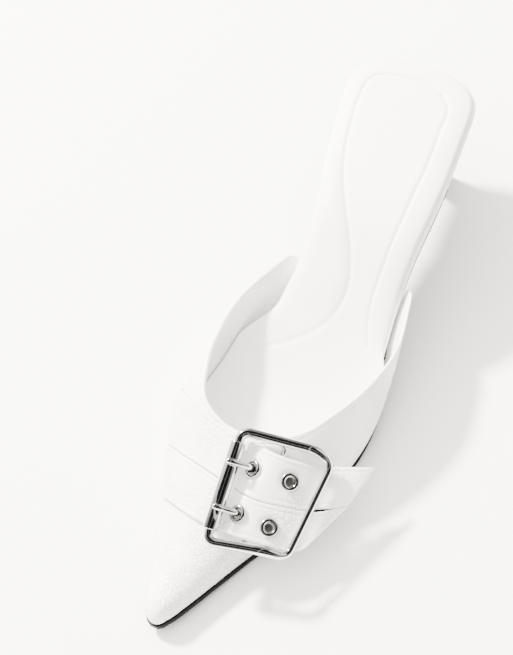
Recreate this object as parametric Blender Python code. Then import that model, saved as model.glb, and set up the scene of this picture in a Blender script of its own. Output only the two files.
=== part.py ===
"""A pointed mule on a kitten heel, left shoe, with a two-band strap and a roller buckle on the vamp.

Frame: the origin is the floor point under the middle of the ball tread. The toe points to -Y, the
wearer's left (the outside of the foot) is +X and up is +Z. Everything is in metres.
"""
from collections import namedtuple
from math import cos, pi, radians, sin

import bmesh
import bpy
import numpy as np
from mathutils import Vector

# Driving sizes of the last and the bottom
BOARD_LENGTH = 0.2548
SEAT_WIDTH = 0.0578
WAIST_WIDTH = 0.0476
BALL_WIDTH = 0.0681
TOE_WIDTH = 0.0042
TOE_RADIUS = 0.0024
SEAT_ROUND = 0.0257
TREAD_SHARE = 0.71
HEEL_RISE = 0.0465
TOE_SPRING = 0.0040
OUTSOLE_THICKNESS = 0.0022
BOARD_EDGE = 0.0070
BOARD_FORE = 0.0030
INSOLE_THICKNESS = 0.0030
FIT_GAP = 0.0003

# Driving sizes of the upper
UPPER_WALL = 0.0016
TOE_HEIGHT = 0.0068
VAMP_HEIGHT = 0.0315
INSTEP_HEIGHT = 0.0620
TOPLINE_LEVEL = 0.0342
WAIST_FLARE = 0.0110
BALL_FLARE = 0.0070
RIDGE_SHIFT = 0.0045
WING_END_SHARE = 0.362
WING_TIP_ANGLE = 84.5

# Driving sizes of the heel
BREAST_SHARE = 0.188
TOP_PIECE_HEIGHT = 0.0050
TOP_PIECE_LENGTH = 0.0112
TOP_PIECE_WIDTH = 0.0108
TOP_PIECE_BACK = 0.0108
HEEL_TUCK = 0.0006
HEEL_SHIFT = 0.0010

# How the edges of the sole, the board and the sock step in and out
WELT = 0.0005
WAIST_TUCK = 0.0008
BOARD_INSET = 0.0008
TOE_INSET = 0.0014
BOARD_FLARE = 0.0022
INSOLE_INSET = 0.0014
INSOLE_END_SHARE = 0.925
INSOLE_END = 0.45
INSOLE_ROUNDING = 0.55
SOCK_CUP = 0.0036
SOCK_SLACK = 0.0007
END_FLAT = 0.0002

# Driving sizes of the strap and its buckle
STRAP_THICKNESS = 0.0018
WIRE_RADIUS = 0.0020
ROLLER_RADIUS = 0.0032
CENTRE_BAR_RADIUS = 0.0012
PRONG_RADIUS = 0.0014
EYELET_RADIUS = 0.0034
EYELET_HOLE = 0.0018
EYELET_BARREL = 0.0006
EYELET_RIM = 0.0009
CORNER_RADIUS = 0.0042
ROLLER_INSET = 0.0047
SLIT_SHARE = 0.045
PRONG_SLACK = 0.0002
PRONG_DROP = 0.0012
EYELET_SIDES = 18
PRONG_WRAP = (30.0, 50.0, 70.0, 88.0, 100.0)

# Shape exponents
SEAT_POWER = 2.7
CAP_BLEND = 6.0
SECTION_POWER = 0.80
HEEL_POWER = 2.4
RIM_POWER = 8.0
CUP_POWER = 6.0
CROWN_SLANT = 1.10
FORE_SHARE = 0.90

# Sampling: the steps of each piece's mesh
SLOPE_STEP = 0.004
EDGE_SAMPLES = 241
PLATE_PLACES = (-1.0, -0.5, 0.0, 0.5, 1.0)
SOCK_PLACES = (-1.0, -0.95, -0.84, -0.62, 0.0, 0.62, 0.84, 0.95, 1.0)
OUTSOLE_ROWS = 61
BOARD_ROWS = 57
SOCK_ROWS = 45
VAMP_LINES = 30
TOE_LINES = 0.45
VAMP_ROWS = 20
HEEL_PAIRS = 17
STRAP_STEPS = 34
BAND_STEPS = 4
CORNER_STEPS = 5
FRAME_SIDES = 10
BAR_SIDES = 8
ROLLER_SIDES = 18

# One row for each place along the board: share of the length from the heel's back, the size that its
# width follows, share of that size, and the centre line's shift to the outside as a share of the ball width
Outline = namedtuple("Outline", "share size width shift")
OUTLINE = (
    Outline(0.12, SEAT_WIDTH, 1.000, -0.014),
    Outline(0.22, SEAT_WIDTH, 0.936, 0.047),
    Outline(0.33, WAIST_WIDTH, 1.000, 0.072),
    Outline(0.44, WAIST_WIDTH, 1.065, 0.041),
    Outline(0.55, BALL_WIDTH, 0.955, 0.000),
    Outline(0.65, BALL_WIDTH, 1.000, -0.042),
    Outline(0.75, BALL_WIDTH, 0.797, -0.050),
    Outline(0.85, BALL_WIDTH, 0.514, -0.065),
    Outline(0.94, BALL_WIDTH, 0.250, -0.065),
    Outline(1.00, TOE_WIDTH, 1.000, -0.065),
)

# One row for each place along the sole: the height of its underside as a share of the named size
Rise = namedtuple("Rise", "share size part")
RISE = (
    Rise(0.00, HEEL_RISE, 1.033),
    Rise(0.10, HEEL_RISE, 1.000),
    Rise(0.20, HEEL_RISE, 0.930),
    Rise(0.30, HEEL_RISE, 0.767),
    Rise(0.40, HEEL_RISE, 0.455),
    Rise(0.50, HEEL_RISE, 0.165),
    Rise(0.58, HEEL_RISE, 0.040),
    Rise(0.65, HEEL_RISE, 0.000),
    Rise(0.77, HEEL_RISE, 0.000),
    Rise(0.85, TOE_SPRING, 0.300),
    Rise(0.93, TOE_SPRING, 0.700),
    Rise(1.00, TOE_SPRING, 1.000),
)

# One row for each level of the heel, from the top piece to the seat: share of its height, how far its back
# lies ahead of the shoe's back, its length and width there, and how much it follows the seat's own outline
Level = namedtuple("Level", "height back length width seat")
HEEL = (
    Level(0.00, TOP_PIECE_BACK, TOP_PIECE_LENGTH, TOP_PIECE_WIDTH, 0.00),
    Level(0.10, 0.0104, 0.0116, 0.0112, 0.00),
    Level(0.30, 0.0092, 0.0140, 0.0124, 0.00),
    Level(0.48, 0.0076, 0.0185, 0.0150, 0.03),
    Level(0.64, 0.0058, 0.0250, 0.0200, 0.12),
    Level(0.78, 0.0040, 0.0320, 0.0270, 0.32),
    Level(0.89, 0.0022, 0.0390, 0.0370, 0.66),
    Level(1.00, 0.0000, 0.0450, 0.0500, 1.00),
)

# One row for each place along the strap, from its root at the inside to its tip: angle, share of the length
# and gap to the upper, for the rear edge, the slit and the front edge
Rail = namedtuple("Rail", "angle share gap")
Strap = namedtuple("Strap", "rear slit front")
STRAP = (
    Strap(Rail(-85.0, 0.616, 0.0006), Rail(-85.0, 0.708, 0.0005), Rail(-85.0, 0.798, 0.0005)),
    Strap(Rail(-62.0, 0.644, 0.0006), Rail(-62.0, 0.733, 0.0005), Rail(-62.0, 0.815, 0.0005)),
    Strap(Rail(-40.0, 0.674, 0.0005), Rail(-40.0, 0.753, 0.0004), Rail(-40.0, 0.828, 0.0004)),
    Strap(Rail(-18.0, 0.698, 0.0004), Rail(-18.0, 0.767, 0.0004), Rail(-18.0, 0.839, 0.0004)),
    Strap(Rail(4.0, 0.710, 0.0005), Rail(6.0, 0.779, 0.0006), Rail(9.0, 0.846, 0.0007)),
    Strap(Rail(26.0, 0.709, 0.0048), Rail(28.0, 0.781, 0.0064), Rail(34.0, 0.841, 0.0074)),
    Strap(Rail(42.0, 0.700, 0.0038), Rail(46.0, 0.766, 0.0078), Rail(52.0, 0.826, 0.0108)),
    Strap(Rail(56.5, 0.683, 0.0032), Rail(61.0, 0.743, 0.0098), Rail(66.0, 0.802, 0.0150)),
    Strap(Rail(68.0, 0.645, 0.0112), Rail(68.0, 0.703, 0.0148), Rail(69.0, 0.783, 0.0172)),
)

# The corners and bends of the buckle's frame, in order: angle, share of the length and height over the upper
FRAME = (
    Rail(1.5, 0.6990, 0.0062),
    Rail(41.5, 0.6760, 0.0064),
    Rail(52.5, 0.6790, 0.0074),
    Rail(63.0, 0.8110, 0.0196),
    Rail(52.4, 0.8284, 0.0174),
    Rail(18.0, 0.8700, 0.0076),
)

# Where the centre bar lies on the vamp under the strap's rear and front edges
BAR_SEATS = (Rail(26.2, 0.700, 0.0006), Rail(46.0, 0.840, 0.0059))

# Each eyelet: its place along the strap, 0 to 1, and its place across its band, 0 at the band's rear edge
Eyelet = namedtuple("Eyelet", "name band along across")
EYELETS = (
    Eyelet("eyelet_rear_inner", 0, 0.565, 0.48),
    Eyelet("eyelet_rear_outer", 0, 0.718, 0.45),
    Eyelet("eyelet_front_inner", 1, 0.602, 0.47),
    Eyelet("eyelet_front_outer", 1, 0.748, 0.56),
)

# One row for each place along the vamp: the ridge's height over the sole as a share of the named size
CROWN = (
    Rise(0.36, INSTEP_HEIGHT, 1.200),
    Rise(0.46, INSTEP_HEIGHT, 1.000),
    Rise(0.55, INSTEP_HEIGHT, 0.806),
    Rise(0.61, INSTEP_HEIGHT, 0.694),
    Rise(0.66, VAMP_HEIGHT, 1.222),
    Rise(0.707, VAMP_HEIGHT, 1.000),
    Rise(0.78, VAMP_HEIGHT, 0.740),
    Rise(0.86, VAMP_HEIGHT, 0.480),
    Rise(0.94, TOE_HEIGHT, 1.400),
    Rise(1.00, TOE_HEIGHT, 1.000),
)

# One row for each place along the upper: how far its sides swell past its lower edge, as a share of the
# named size, on the inside of the foot and on the outside
Swell = namedtuple("Swell", "share size inner outer")
SWELL = (
    Swell(0.36, WAIST_FLARE, 1.10, 1.10),
    Swell(0.46, WAIST_FLARE, 0.95, 0.95),
    Swell(0.55, BALL_FLARE, 1.10, 1.05),
    Swell(0.65, BALL_FLARE, 1.00, 0.85),
    Swell(0.75, BALL_FLARE, 0.60, 0.35),
    Swell(0.85, BALL_FLARE, 0.30, 0.15),
    Swell(1.00, BALL_FLARE, 0.05, 0.05),
)


def spline(xs, ys, x):
    """Natural cubic curve through the points, read at x."""
    xs, ys = np.asarray(xs, float), np.asarray(ys, float)
    step, slope = np.diff(xs), np.diff(ys) / np.diff(xs)
    count = len(xs)
    matrix, right = np.eye(count), np.zeros(count)
    for row in range(1, count - 1):
        matrix[row, row - 1] = step[row - 1]
        matrix[row, row] = 2.0 * (step[row - 1] + step[row])
        matrix[row, row + 1] = step[row]
        right[row] = 6.0 * (slope[row] - slope[row - 1])
    bend = np.linalg.solve(matrix, right)
    x = np.asarray(x, float)
    cell = np.clip(np.searchsorted(xs, x) - 1, 0, count - 2)
    before, after = x - xs[cell], xs[cell + 1] - x
    width = step[cell]
    return ((bend[cell] * after ** 3 + bend[cell + 1] * before ** 3) / (6.0 * width)
            + (ys[cell] / width - bend[cell] * width / 6.0) * after
            + (ys[cell + 1] / width - bend[cell + 1] * width / 6.0) * before)


def monotone(xs, ys, x):
    """Smooth curve through the points that never overshoots them, read at x."""
    xs, ys = np.asarray(xs, float), np.asarray(ys, float)
    step, slope = np.diff(xs), np.diff(ys) / np.diff(xs)
    tangent = np.concatenate(([slope[0]], np.zeros(len(xs) - 2), [slope[-1]]))
    for row in range(1, len(xs) - 1):
        if slope[row - 1] * slope[row] > 0.0:
            first = 2.0 * step[row] + step[row - 1]
            second = step[row] + 2.0 * step[row - 1]
            tangent[row] = (first + second) / (first / slope[row - 1] + second / slope[row])
    x = np.asarray(x, float)
    cell = np.clip(np.searchsorted(xs, x) - 1, 0, len(xs) - 2)
    t = np.clip((x - xs[cell]) / step[cell], 0.0, 1.0)
    return ((2 * t ** 3 - 3 * t ** 2 + 1) * ys[cell] + (t ** 3 - 2 * t ** 2 + t) * step[cell] * tangent[cell]
            + (-2 * t ** 3 + 3 * t ** 2) * ys[cell + 1] + (t ** 3 - t ** 2) * step[cell] * tangent[cell + 1])


def rise_of(rows, share):
    """Height read from a table of shares of named sizes."""
    return monotone([row.share for row in rows], [row.size * row.part for row in rows], share)


def station(share):
    """Y of a share of the board's length."""
    return (TREAD_SHARE - np.asarray(share, float)) * BOARD_LENGTH


def share_at(y):
    """Share of the board's length at Y."""
    return TREAD_SHARE - np.asarray(y, float) / BOARD_LENGTH


def board_sides(share):
    """Inner and outer X of the board's outline at a share of its length."""
    share = np.asarray(share, float)
    shares = [row.share for row in OUTLINE]
    width = spline(shares, [row.size * row.width for row in OUTLINE], np.maximum(share, 0.0))
    shift = spline(shares, [row.shift * BALL_WIDTH for row in OUTLINE], share)
    heel = np.clip(1.0 - share * BOARD_LENGTH / SEAT_ROUND, 0.0, 1.0)
    width = width * (1.0 - heel ** SEAT_POWER) ** (1.0 / SEAT_POWER)
    run = np.clip((1.0 - share) * BOARD_LENGTH, 0.0, None)
    cap = np.where(run < TOE_RADIUS, 2.0 * np.sqrt(np.clip(2.0 * TOE_RADIUS * run - run ** 2, 0.0, None)),
                   2.0 * TOE_RADIUS + 3.0 * (run - TOE_RADIUS))
    width, cap = np.maximum(width, 1e-7), np.maximum(cap, 1e-7)
    width = (width ** -CAP_BLEND + cap ** -CAP_BLEND) ** (-1.0 / CAP_BLEND)
    return shift - width / 2.0, shift + width / 2.0


class Edge:
    """The board's outline moved outward by a distance that may change along the length, and by a further
    distance on the outside of the foot."""

    def __init__(self, out, outside=0.0):
        share = (1.0 - np.cos(np.linspace(0.0, pi, EDGE_SAMPLES))) / 2.0
        out, outside = (np.broadcast_to(move(share) if callable(move) else move, share.shape)
                        for move in (out, outside))
        y = station(share)
        self.y, self.x = [], []
        for side, x, move in zip((-1.0, 1.0), board_sides(share), (out, out + outside)):
            along_x, along_y = np.gradient(x), np.gradient(y)
            length = np.hypot(along_x, along_y)
            normal_x, normal_y = -side * along_y / length, side * along_x / length
            normal_x[[0, -1]] = 0.0
            normal_y[[0, -1]] = 1.0, -1.0
            self.y.append((y + move * normal_y)[::-1])
            self.x.append((x + move * normal_x)[::-1])
        self.back, self.tip = self.y[0][-1], self.y[0][0]

    def sides(self, y):
        """Inner and outer X at Y."""
        return np.interp(y, self.y[0], self.x[0]), np.interp(y, self.y[1], self.x[1])


def sole_under(y):
    """Height of the outsole's underside at Y."""
    return rise_of(RISE, np.clip(share_at(y), 0.0, 1.0))


def sole_top(y):
    """Height of the outsole's upper face at Y."""
    return sole_under(y) + OUTSOLE_THICKNESS


def crown(share, wall=0.0):
    """Height of the vamp's ridge over its lower edge, rounded down to nothing at the toe; wall takes the
    wall's thickness off, 0 at the outer surface and 1 at the inner one."""
    run = np.clip((1.0 - share) * BOARD_LENGTH / TOE_HEIGHT, 0.0, 1.0)
    height = rise_of(CROWN, share) - wall * UPPER_WALL * CROWN_SLANT
    return height * np.sqrt(np.clip(1.0 - (1.0 - run) ** 2, 0.0, 1.0))


OUTER_EDGE = Edge(FIT_GAP + UPPER_WALL)
INNER_EDGE = Edge(FIT_GAP)


def swell_of(share, side):
    """How far the side swells past the upper's lower edge."""
    shares = [row.share for row in SWELL]
    inner = monotone(shares, [row.size * row.inner for row in SWELL], share)
    outer = monotone(shares, [row.size * row.outer for row in SWELL], share)
    return np.where(side < 0.0, inner, outer)


def vamp(share, angle, lift=0.0, wall=0.0):
    """Surface of the upper at a share of the length and an angle, which runs from the inside of the foot,
    -90, over the ridge at 0, to the outside, 90. lift moves the point off along the outer surface's normal;
    wall goes from the outer surface, 0, to the inner one, 1."""
    share, angle = np.broadcast_arrays(np.asarray(share, float), np.asarray(angle, float))
    fore = np.clip((share - FORE_SHARE) / (1.0 - FORE_SHARE), 0.0, 1.0) ** 2
    turn, side = np.radians(np.abs(angle)), np.sign(angle)
    tip = OUTER_EDGE.tip + (INNER_EDGE.tip - OUTER_EDGE.tip) * wall
    y = station(share) + (tip - station(1.0)) * fore
    inner, outer = OUTER_EDGE.sides(y)
    if wall:
        inner, outer = INNER_EDGE.sides(y)
    height = crown(share, wall)
    swell = swell_of(share, side) * np.sin(pi * (np.abs(angle) / 90.0) ** 2)
    shift = RIDGE_SHIFT * np.cos(turn) * np.clip(height / VAMP_HEIGHT, 0.0, 1.0)
    x = (inner + outer) / 2.0 + side * ((outer - inner) / 2.0 * np.sin(turn) ** SECTION_POWER + swell) + shift
    z = sole_top(y) + FIT_GAP + height * np.cos(turn)
    point = np.stack([x, y, z], -1)
    if np.any(lift):
        point = point + vamp_normal(share, angle) * np.asarray(lift)[..., None]
    return point


def vamp_normal(share, angle):
    """Outward normal of the upper's outer surface."""
    along = vamp(share + SLOPE_STEP, angle) - vamp(share - SLOPE_STEP, angle)
    across = vamp(share, np.minimum(angle + 1.0, 90.0)) - vamp(share, np.maximum(angle - 1.0, -90.0))
    normal = np.cross(along, across)
    return normal / np.linalg.norm(normal, axis=-1, keepdims=True)


def topline_share(angle):
    """Share of the length where the upper's level top edge lies at an angle, down to the tip of each wing."""
    shares = np.linspace(WING_END_SHARE, 0.75, 200)
    level = sole_top(station(shares)) + FIT_GAP
    bend = np.degrees(np.arccos(np.clip((TOPLINE_LEVEL - level) / crown(shares), 0.0, 1.0)))
    throat = np.argmax(bend <= 0.0)
    angle = np.abs(np.asarray(angle, float))
    share = np.interp(-np.minimum(angle, WING_TIP_ANGLE), -bend[:throat + 1], shares[:throat + 1])
    end = np.clip((angle - WING_TIP_ANGLE) / (90.0 - WING_TIP_ANGLE), 0.0, 1.0)
    return share + (WING_END_SHARE - share) * end


def finish(name, verts, faces, material, smooth_angle=35.0):
    """Object from points and faces, with its normals facing out and round parts shaded smooth."""
    mesh = bpy.data.meshes.new(name)
    mesh.from_pydata([tuple(vert) for vert in verts], [], faces)
    shaper = bmesh.new()
    shaper.from_mesh(mesh)
    bmesh.ops.remove_doubles(shaper, verts=shaper.verts, dist=1e-6)
    bmesh.ops.recalc_face_normals(shaper, faces=shaper.faces)
    shaper.to_mesh(mesh)
    shaper.free()
    mesh.shade_smooth()
    mesh.set_sharp_from_angle(angle=radians(smooth_angle))
    mesh.materials.append(material)
    piece = bpy.data.objects.new(name, mesh)
    bpy.context.scene.collection.objects.link(piece)
    return piece


def material(name, colour, roughness, metallic=0.0):
    """Plain Principled material."""
    made = bpy.data.materials.new(name)
    made.use_nodes = True
    shader = made.node_tree.nodes["Principled BSDF"]
    shader.inputs["Base Color"].default_value = (*colour, 1.0)
    shader.inputs["Roughness"].default_value = roughness
    shader.inputs["Metallic"].default_value = metallic
    return made


def grid_faces(rows, columns, start=0, flip=False):
    """Quads of a grid of points stored row by row."""
    faces = []
    for row in range(rows - 1):
        for column in range(columns - 1):
            corner = start + row * columns + column
            quad = (corner, corner + 1, corner + columns + 1, corner + columns)
            faces.append(quad[::-1] if flip else quad)
    return faces


def rim_faces(loop, other, closed=False):
    """Quads between two lists of point numbers of the same length."""
    last = len(loop) if closed else len(loop) - 1
    return [(loop[k], loop[(k + 1) % len(loop)], other[(k + 1) % len(loop)], other[k]) for k in range(last)]


def slab(low, high):
    """Points and faces of a closed body between two grids of points, row by row."""
    rows, columns = low.shape[:2]
    verts = np.concatenate([low.reshape(-1, 3), high.reshape(-1, 3)])
    count = rows * columns
    faces = grid_faces(rows, columns, flip=True) + grid_faces(rows, columns, start=count)
    ring = ([k for k in range(columns)] + [row * columns + columns - 1 for row in range(1, rows)]
            + [(rows - 1) * columns + k for k in range(columns - 2, -1, -1)]
            + [row * columns for row in range(rows - 2, 0, -1)])
    faces += rim_faces(ring, [k + count for k in ring], closed=True)
    return verts, faces


def plan(edge, back, front, across, rows):
    """X, Y and place of a grid of points inside an outline from Y back to Y front; across lists the places
    from the inside, -1, to the outside, 1."""
    back, front = back - END_FLAT, front + END_FLAT
    y = (back + front) / 2.0 + (back - front) / 2.0 * np.cos(np.linspace(0.0, pi, rows))
    y, place = np.meshgrid(y, across, indexing="ij")
    inner, outer = edge.sides(y)
    return (inner + outer) / 2.0 + (outer - inner) / 2.0 * place, y, place


def forepart(share):
    """0 at the waist and seat, 1 under the forepart."""
    return monotone((0.0, 0.42, 0.56, 1.0), (0.0, 0.0, 1.0, 1.0), share)


def outsole():
    """Thin sole from the toe to the heel's breast, tucked in at the waist, with a narrow welt in front."""
    edge = Edge(lambda share: forepart(share) * (FIT_GAP + UPPER_WALL + WELT + WAIST_TUCK) - WAIST_TUCK)
    x, y, _ = plan(edge, station(BREAST_SHARE), edge.tip, PLATE_PLACES, OUTSOLE_ROWS)
    verts, faces = slab(np.stack([x, y, sole_under(y)], -1), np.stack([x, y, sole_top(y)], -1))
    finish("outsole", verts, faces, BLACK)


def board_thickness(share):
    """Thickness of the board: a deep covered edge behind the upper, thin inside it."""
    thin = monotone((0.0, 0.46, 0.60, 1.0), (0.0, 0.0, 1.0, 1.0), share)
    return BOARD_EDGE + (BOARD_FORE - BOARD_EDGE) * thin


def board_top(y):
    """Height of the board's upper face at Y."""
    return sole_top(y) + FIT_GAP + board_thickness(share_at(y))


def board_inset(share):
    """How far the board's edge lies off the last's outline."""
    toe = monotone((0.0, 0.86, 0.96, 1.0), (0.0, 0.0, 1.0, 1.0), share)
    return -BOARD_INSET * forepart(share) - TOE_INSET * toe


def board_flare(share):
    """How far the board's upper face leans out over its lower one, on the outside of the foot."""
    return BOARD_FLARE * monotone((0.0, 0.06, 0.42, 0.56, 1.0), (0.0, 1.0, 1.0, 0.0, 0.0), share)


def midsole():
    """Board with its covered edge, which leans out on the outside of the foot."""
    edge, top_edge = Edge(board_inset), Edge(board_inset, board_flare)
    x, y, _ = plan(edge, edge.back, edge.tip, PLATE_PLACES, BOARD_ROWS)
    top_x, top_y, _ = plan(top_edge, edge.back, edge.tip, PLATE_PLACES, BOARD_ROWS)
    verts, faces = slab(np.stack([x, y, sole_top(y) + FIT_GAP], -1),
                        np.stack([top_x, top_y, board_top(top_y)], -1))
    finish("midsole", verts, faces, WHITE)


def wall_inside(y, z, side):
    """X of the upper's inner surface at Y and Z, on the inside of the foot, -1, or on the outside, 1."""
    share = share_at(y)
    level = np.clip((z - sole_top(y) - FIT_GAP) / crown(share, 1.0), 0.0, 1.0)
    return vamp(share, side * np.degrees(np.arccos(level)), wall=1.0)[..., 0]


def insole():
    """Padded sock, rounded at its edge, that spreads to the upper's wall at the waist and cups up there."""
    edge = Edge(-INSOLE_INSET, board_flare)
    _, y, place = plan(edge, edge.back, station(INSOLE_END_SHARE), SOCK_PLACES, SOCK_ROWS)
    spread = monotone((0.0, 0.44, 0.52, 0.64, 0.76, 1.0), (0.0, 0.0, 1.0, 1.0, 0.0, 0.0), share_at(y))
    bed = board_top(y) + FIT_GAP
    brim = bed + SOCK_CUP * spread
    inner, outer = (plain + (wall_inside(y, brim, side) - side * SOCK_SLACK - plain) * spread
                    for side, plain in zip((-1.0, 1.0), edge.sides(y)))
    x = (inner + outer) / 2.0 + (outer - inner) / 2.0 * place
    low = bed + (brim - bed) * np.abs(place) ** CUP_POWER
    run = np.minimum(edge.back - y, y - station(INSOLE_END_SHARE)) / INSOLE_THICKNESS
    end = np.sqrt(np.clip(1.0 - (1.0 - np.clip(run, 0.0, 1.0)) ** 2, 0.0, 1.0))
    rim = 1.0 - INSOLE_ROUNDING * np.abs(place) ** RIM_POWER
    high = low + INSOLE_THICKNESS * rim * (INSOLE_END + (1.0 - INSOLE_END) * end)
    verts, faces = slab(np.stack([x, y, low], -1), np.stack([x, y, high], -1))
    finish("insole", verts, faces, SOCK)


def upper():
    """Hollow vamp: lines run from the level topline to the lower edge, round the toe, inside and out."""
    lines = np.linspace(-1.0, 1.0, 2 * VAMP_LINES + 1)
    start_angle = 90.0 * lines
    start_share = topline_share(start_angle)
    side = np.clip((np.abs(lines) - TOE_LINES) / (1.0 - TOE_LINES), 0.0, 1.0)
    end_share = 1.0 - (1.0 - WING_END_SHARE) * side ** 1.3
    run = np.sin(np.linspace(0.0, pi / 2.0, VAMP_ROWS))[None, :]
    share = start_share[:, None] + (end_share - start_share)[:, None] * run
    end_angle = 90.0 * np.clip(lines / TOE_LINES, -1.0, 1.0)[:, None]
    angle = start_angle[:, None] + (end_angle - start_angle[:, None]) * run
    outer, inner = vamp(share, angle), vamp(share, angle, wall=1.0)
    at_tip = np.abs(lines) <= TOE_LINES
    for surface in (outer, inner):
        surface[at_tip, -1] = surface[VAMP_LINES, -1]
    keep = slice(1, -1)
    verts, faces = slab(inner[keep], outer[keep])
    finish("upper", verts, faces, WHITE)


def heel_ring(row):
    """One level of the heel as a closed loop of points, from its back along the inside to the breast and
    back along the outside."""
    reach = (1.0 - np.cos(np.linspace(0.0, pi, HEEL_PAIRS))) / 2.0
    edge = Edge(-HEEL_TUCK)
    seat_y = edge.back + (station(BREAST_SHARE) + FIT_GAP - edge.back) * reach
    seat_inner, seat_outer = edge.sides(seat_y)
    y = station(0.0) - row.back - row.length * reach
    round_half = row.width / 2.0 * (1.0 - np.abs(2.0 * reach - 1.0) ** HEEL_POWER) ** (1.0 / HEEL_POWER)
    middle = HEEL_SHIFT * row.height
    y = y * (1.0 - row.seat) + seat_y * row.seat
    inner = (middle - round_half) * (1.0 - row.seat) + seat_inner * row.seat
    outer = (middle + round_half) * (1.0 - row.seat) + seat_outer * row.seat
    low = TOP_PIECE_HEIGHT + FIT_GAP
    z = low + (sole_top(seat_y) - low) * row.height
    pair = np.stack([np.concatenate([inner, outer[::-1]]), np.concatenate([y, y[::-1]]),
                     np.concatenate([z, z[::-1]])], -1)
    return pair


def loft(name, loops, material_used):
    """Closed body through loops of pairs, with ladder faces over both ends."""
    count = len(loops[0])
    verts = np.concatenate(loops)
    faces = []
    for level in range(len(loops) - 1):
        ring = [level * count + k for k in range(count)]
        faces += rim_faces(ring, [k + count for k in ring], closed=True)
    for first in (0, (len(loops) - 1) * count):
        for k in range(count // 2 - 1):
            faces.append((first + k, first + k + 1, first + count - 2 - k, first + count - 1 - k))
    return finish(name, verts, faces, material_used)


def heel():
    """Kitten heel from the seat down to the top piece, and the top piece under it."""
    loops = [heel_ring(row) for row in HEEL]
    loft("heel", loops, BLACK)
    top = loops[0].copy()
    top[:, 2] = TOP_PIECE_HEIGHT
    floor = top.copy()
    floor[:, 2] = 0.0
    loft("top_piece", [floor, top], RUBBER)


def strap_point(along, across, lift=0.0):
    """Point of the strap's underside: along from its root, 0, to its tip, 1; across from its rear edge, 0,
    over the slit at 1, to its front edge at 2."""
    along, across = np.broadcast_arrays(np.asarray(along, float), np.asarray(across, float))
    places = np.linspace(0.0, 1.0, len(STRAP))
    rails = []
    for rail in range(3):
        rows = [row[rail] for row in STRAP]
        rails.append([spline(places, [getattr(row, key) for row in rows], along)
                      for key in ("angle", "share")] + [monotone(places, [row.gap for row in rows], along)])
    angle, share, gap = (np.where(across < 1.0, rear + (slit - rear) * across,
                                  slit + (front - slit) * (across - 1.0))
                         for rear, slit, front in zip(*rails))
    return vamp(share, angle, gap + lift)


def strap_normal(along, across):
    """Upward normal of the strap."""
    along, across = np.asarray(along, float), np.asarray(across, float)
    down = strap_point(along + 0.004, across) - strap_point(along - 0.004, across)
    over = strap_point(along, across + 0.04) - strap_point(along, across - 0.04)
    normal = np.cross(over, down)
    return normal / np.linalg.norm(normal, axis=-1, keepdims=True)


def tube(points, radii, sides, closed=False):
    """Points and faces of a round bar along a path."""
    points = np.asarray(points, float)
    count = len(points)
    if closed:
        ahead, behind = np.roll(points, -1, 0), np.roll(points, 1, 0)
    else:
        ahead = np.concatenate([points[1:], points[-1:]])
        behind = np.concatenate([points[:1], points[:-1]])
    tangent = ahead - behind
    tangent /= np.linalg.norm(tangent, axis=1, keepdims=True)
    side = np.cross(tangent[0], (0.0, 0.0, 1.0))
    turn = np.linspace(0.0, 2.0 * pi, sides, endpoint=False)
    radii = np.broadcast_to(radii, (count,))
    verts = []
    for point, along, radius in zip(points, tangent, radii):
        side = side - along * np.dot(side, along)
        side /= np.linalg.norm(side)
        up = np.cross(side, along)
        verts += [point + radius * (cos(step) * side + sin(step) * up) for step in turn]
    faces = []
    for row in range(count if closed else count - 1):
        ring = [row * sides + k for k in range(sides)]
        other = [(row + 1) % count * sides + k for k in range(sides)]
        faces += rim_faces(ring, other, closed=True)
    if not closed:
        faces += [tuple(range(sides)), tuple(range((count - 1) * sides, count * sides))]
    return np.array(verts), faces


def rounded(points, radius, steps):
    """Closed path through points with each corner rounded."""
    path = []
    count = len(points)
    for k in range(count):
        corner = points[k]
        before, after = points[k - 1] - corner, points[(k + 1) % count] - corner
        reach = min(radius, 0.45 * np.linalg.norm(before), 0.45 * np.linalg.norm(after))
        start = corner + before / np.linalg.norm(before) * reach
        end = corner + after / np.linalg.norm(after) * reach
        for step in np.linspace(0.0, 1.0, steps):
            path.append((1 - step) ** 2 * start + 2 * step * (1 - step) * corner + step ** 2 * end)
    return np.array(path)


def seat_frame(eyelet):
    """Centre of an eyelet on the strap's underside, and the strap's normal there."""
    across = eyelet.band + eyelet.across
    point, normal = strap_point(eyelet.along, across), strap_normal(eyelet.along, across)
    return Vector(point), Vector(normal)


def turned(profile, sides):
    """Points and faces of a closed ring turned round Z from a closed profile of radius and height."""
    verts, count = [], len(profile)
    for step in range(sides):
        turn = 2.0 * pi * step / sides
        verts += [(radius * cos(turn), radius * sin(turn), height) for radius, height in profile]
    faces = []
    for step in range(sides):
        ring = [step * count + k for k in range(count)]
        other = [(step + 1) % sides * count + k for k in range(count)]
        faces += rim_faces(ring, other, closed=True)
    return np.array(verts), faces


def placed(verts, point, normal):
    """Points turned from Z to a normal and moved to a place."""
    turn = normal.to_track_quat("Z", "Y").to_matrix()
    return np.array([turn @ Vector(vert) + point for vert in verts])


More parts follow.
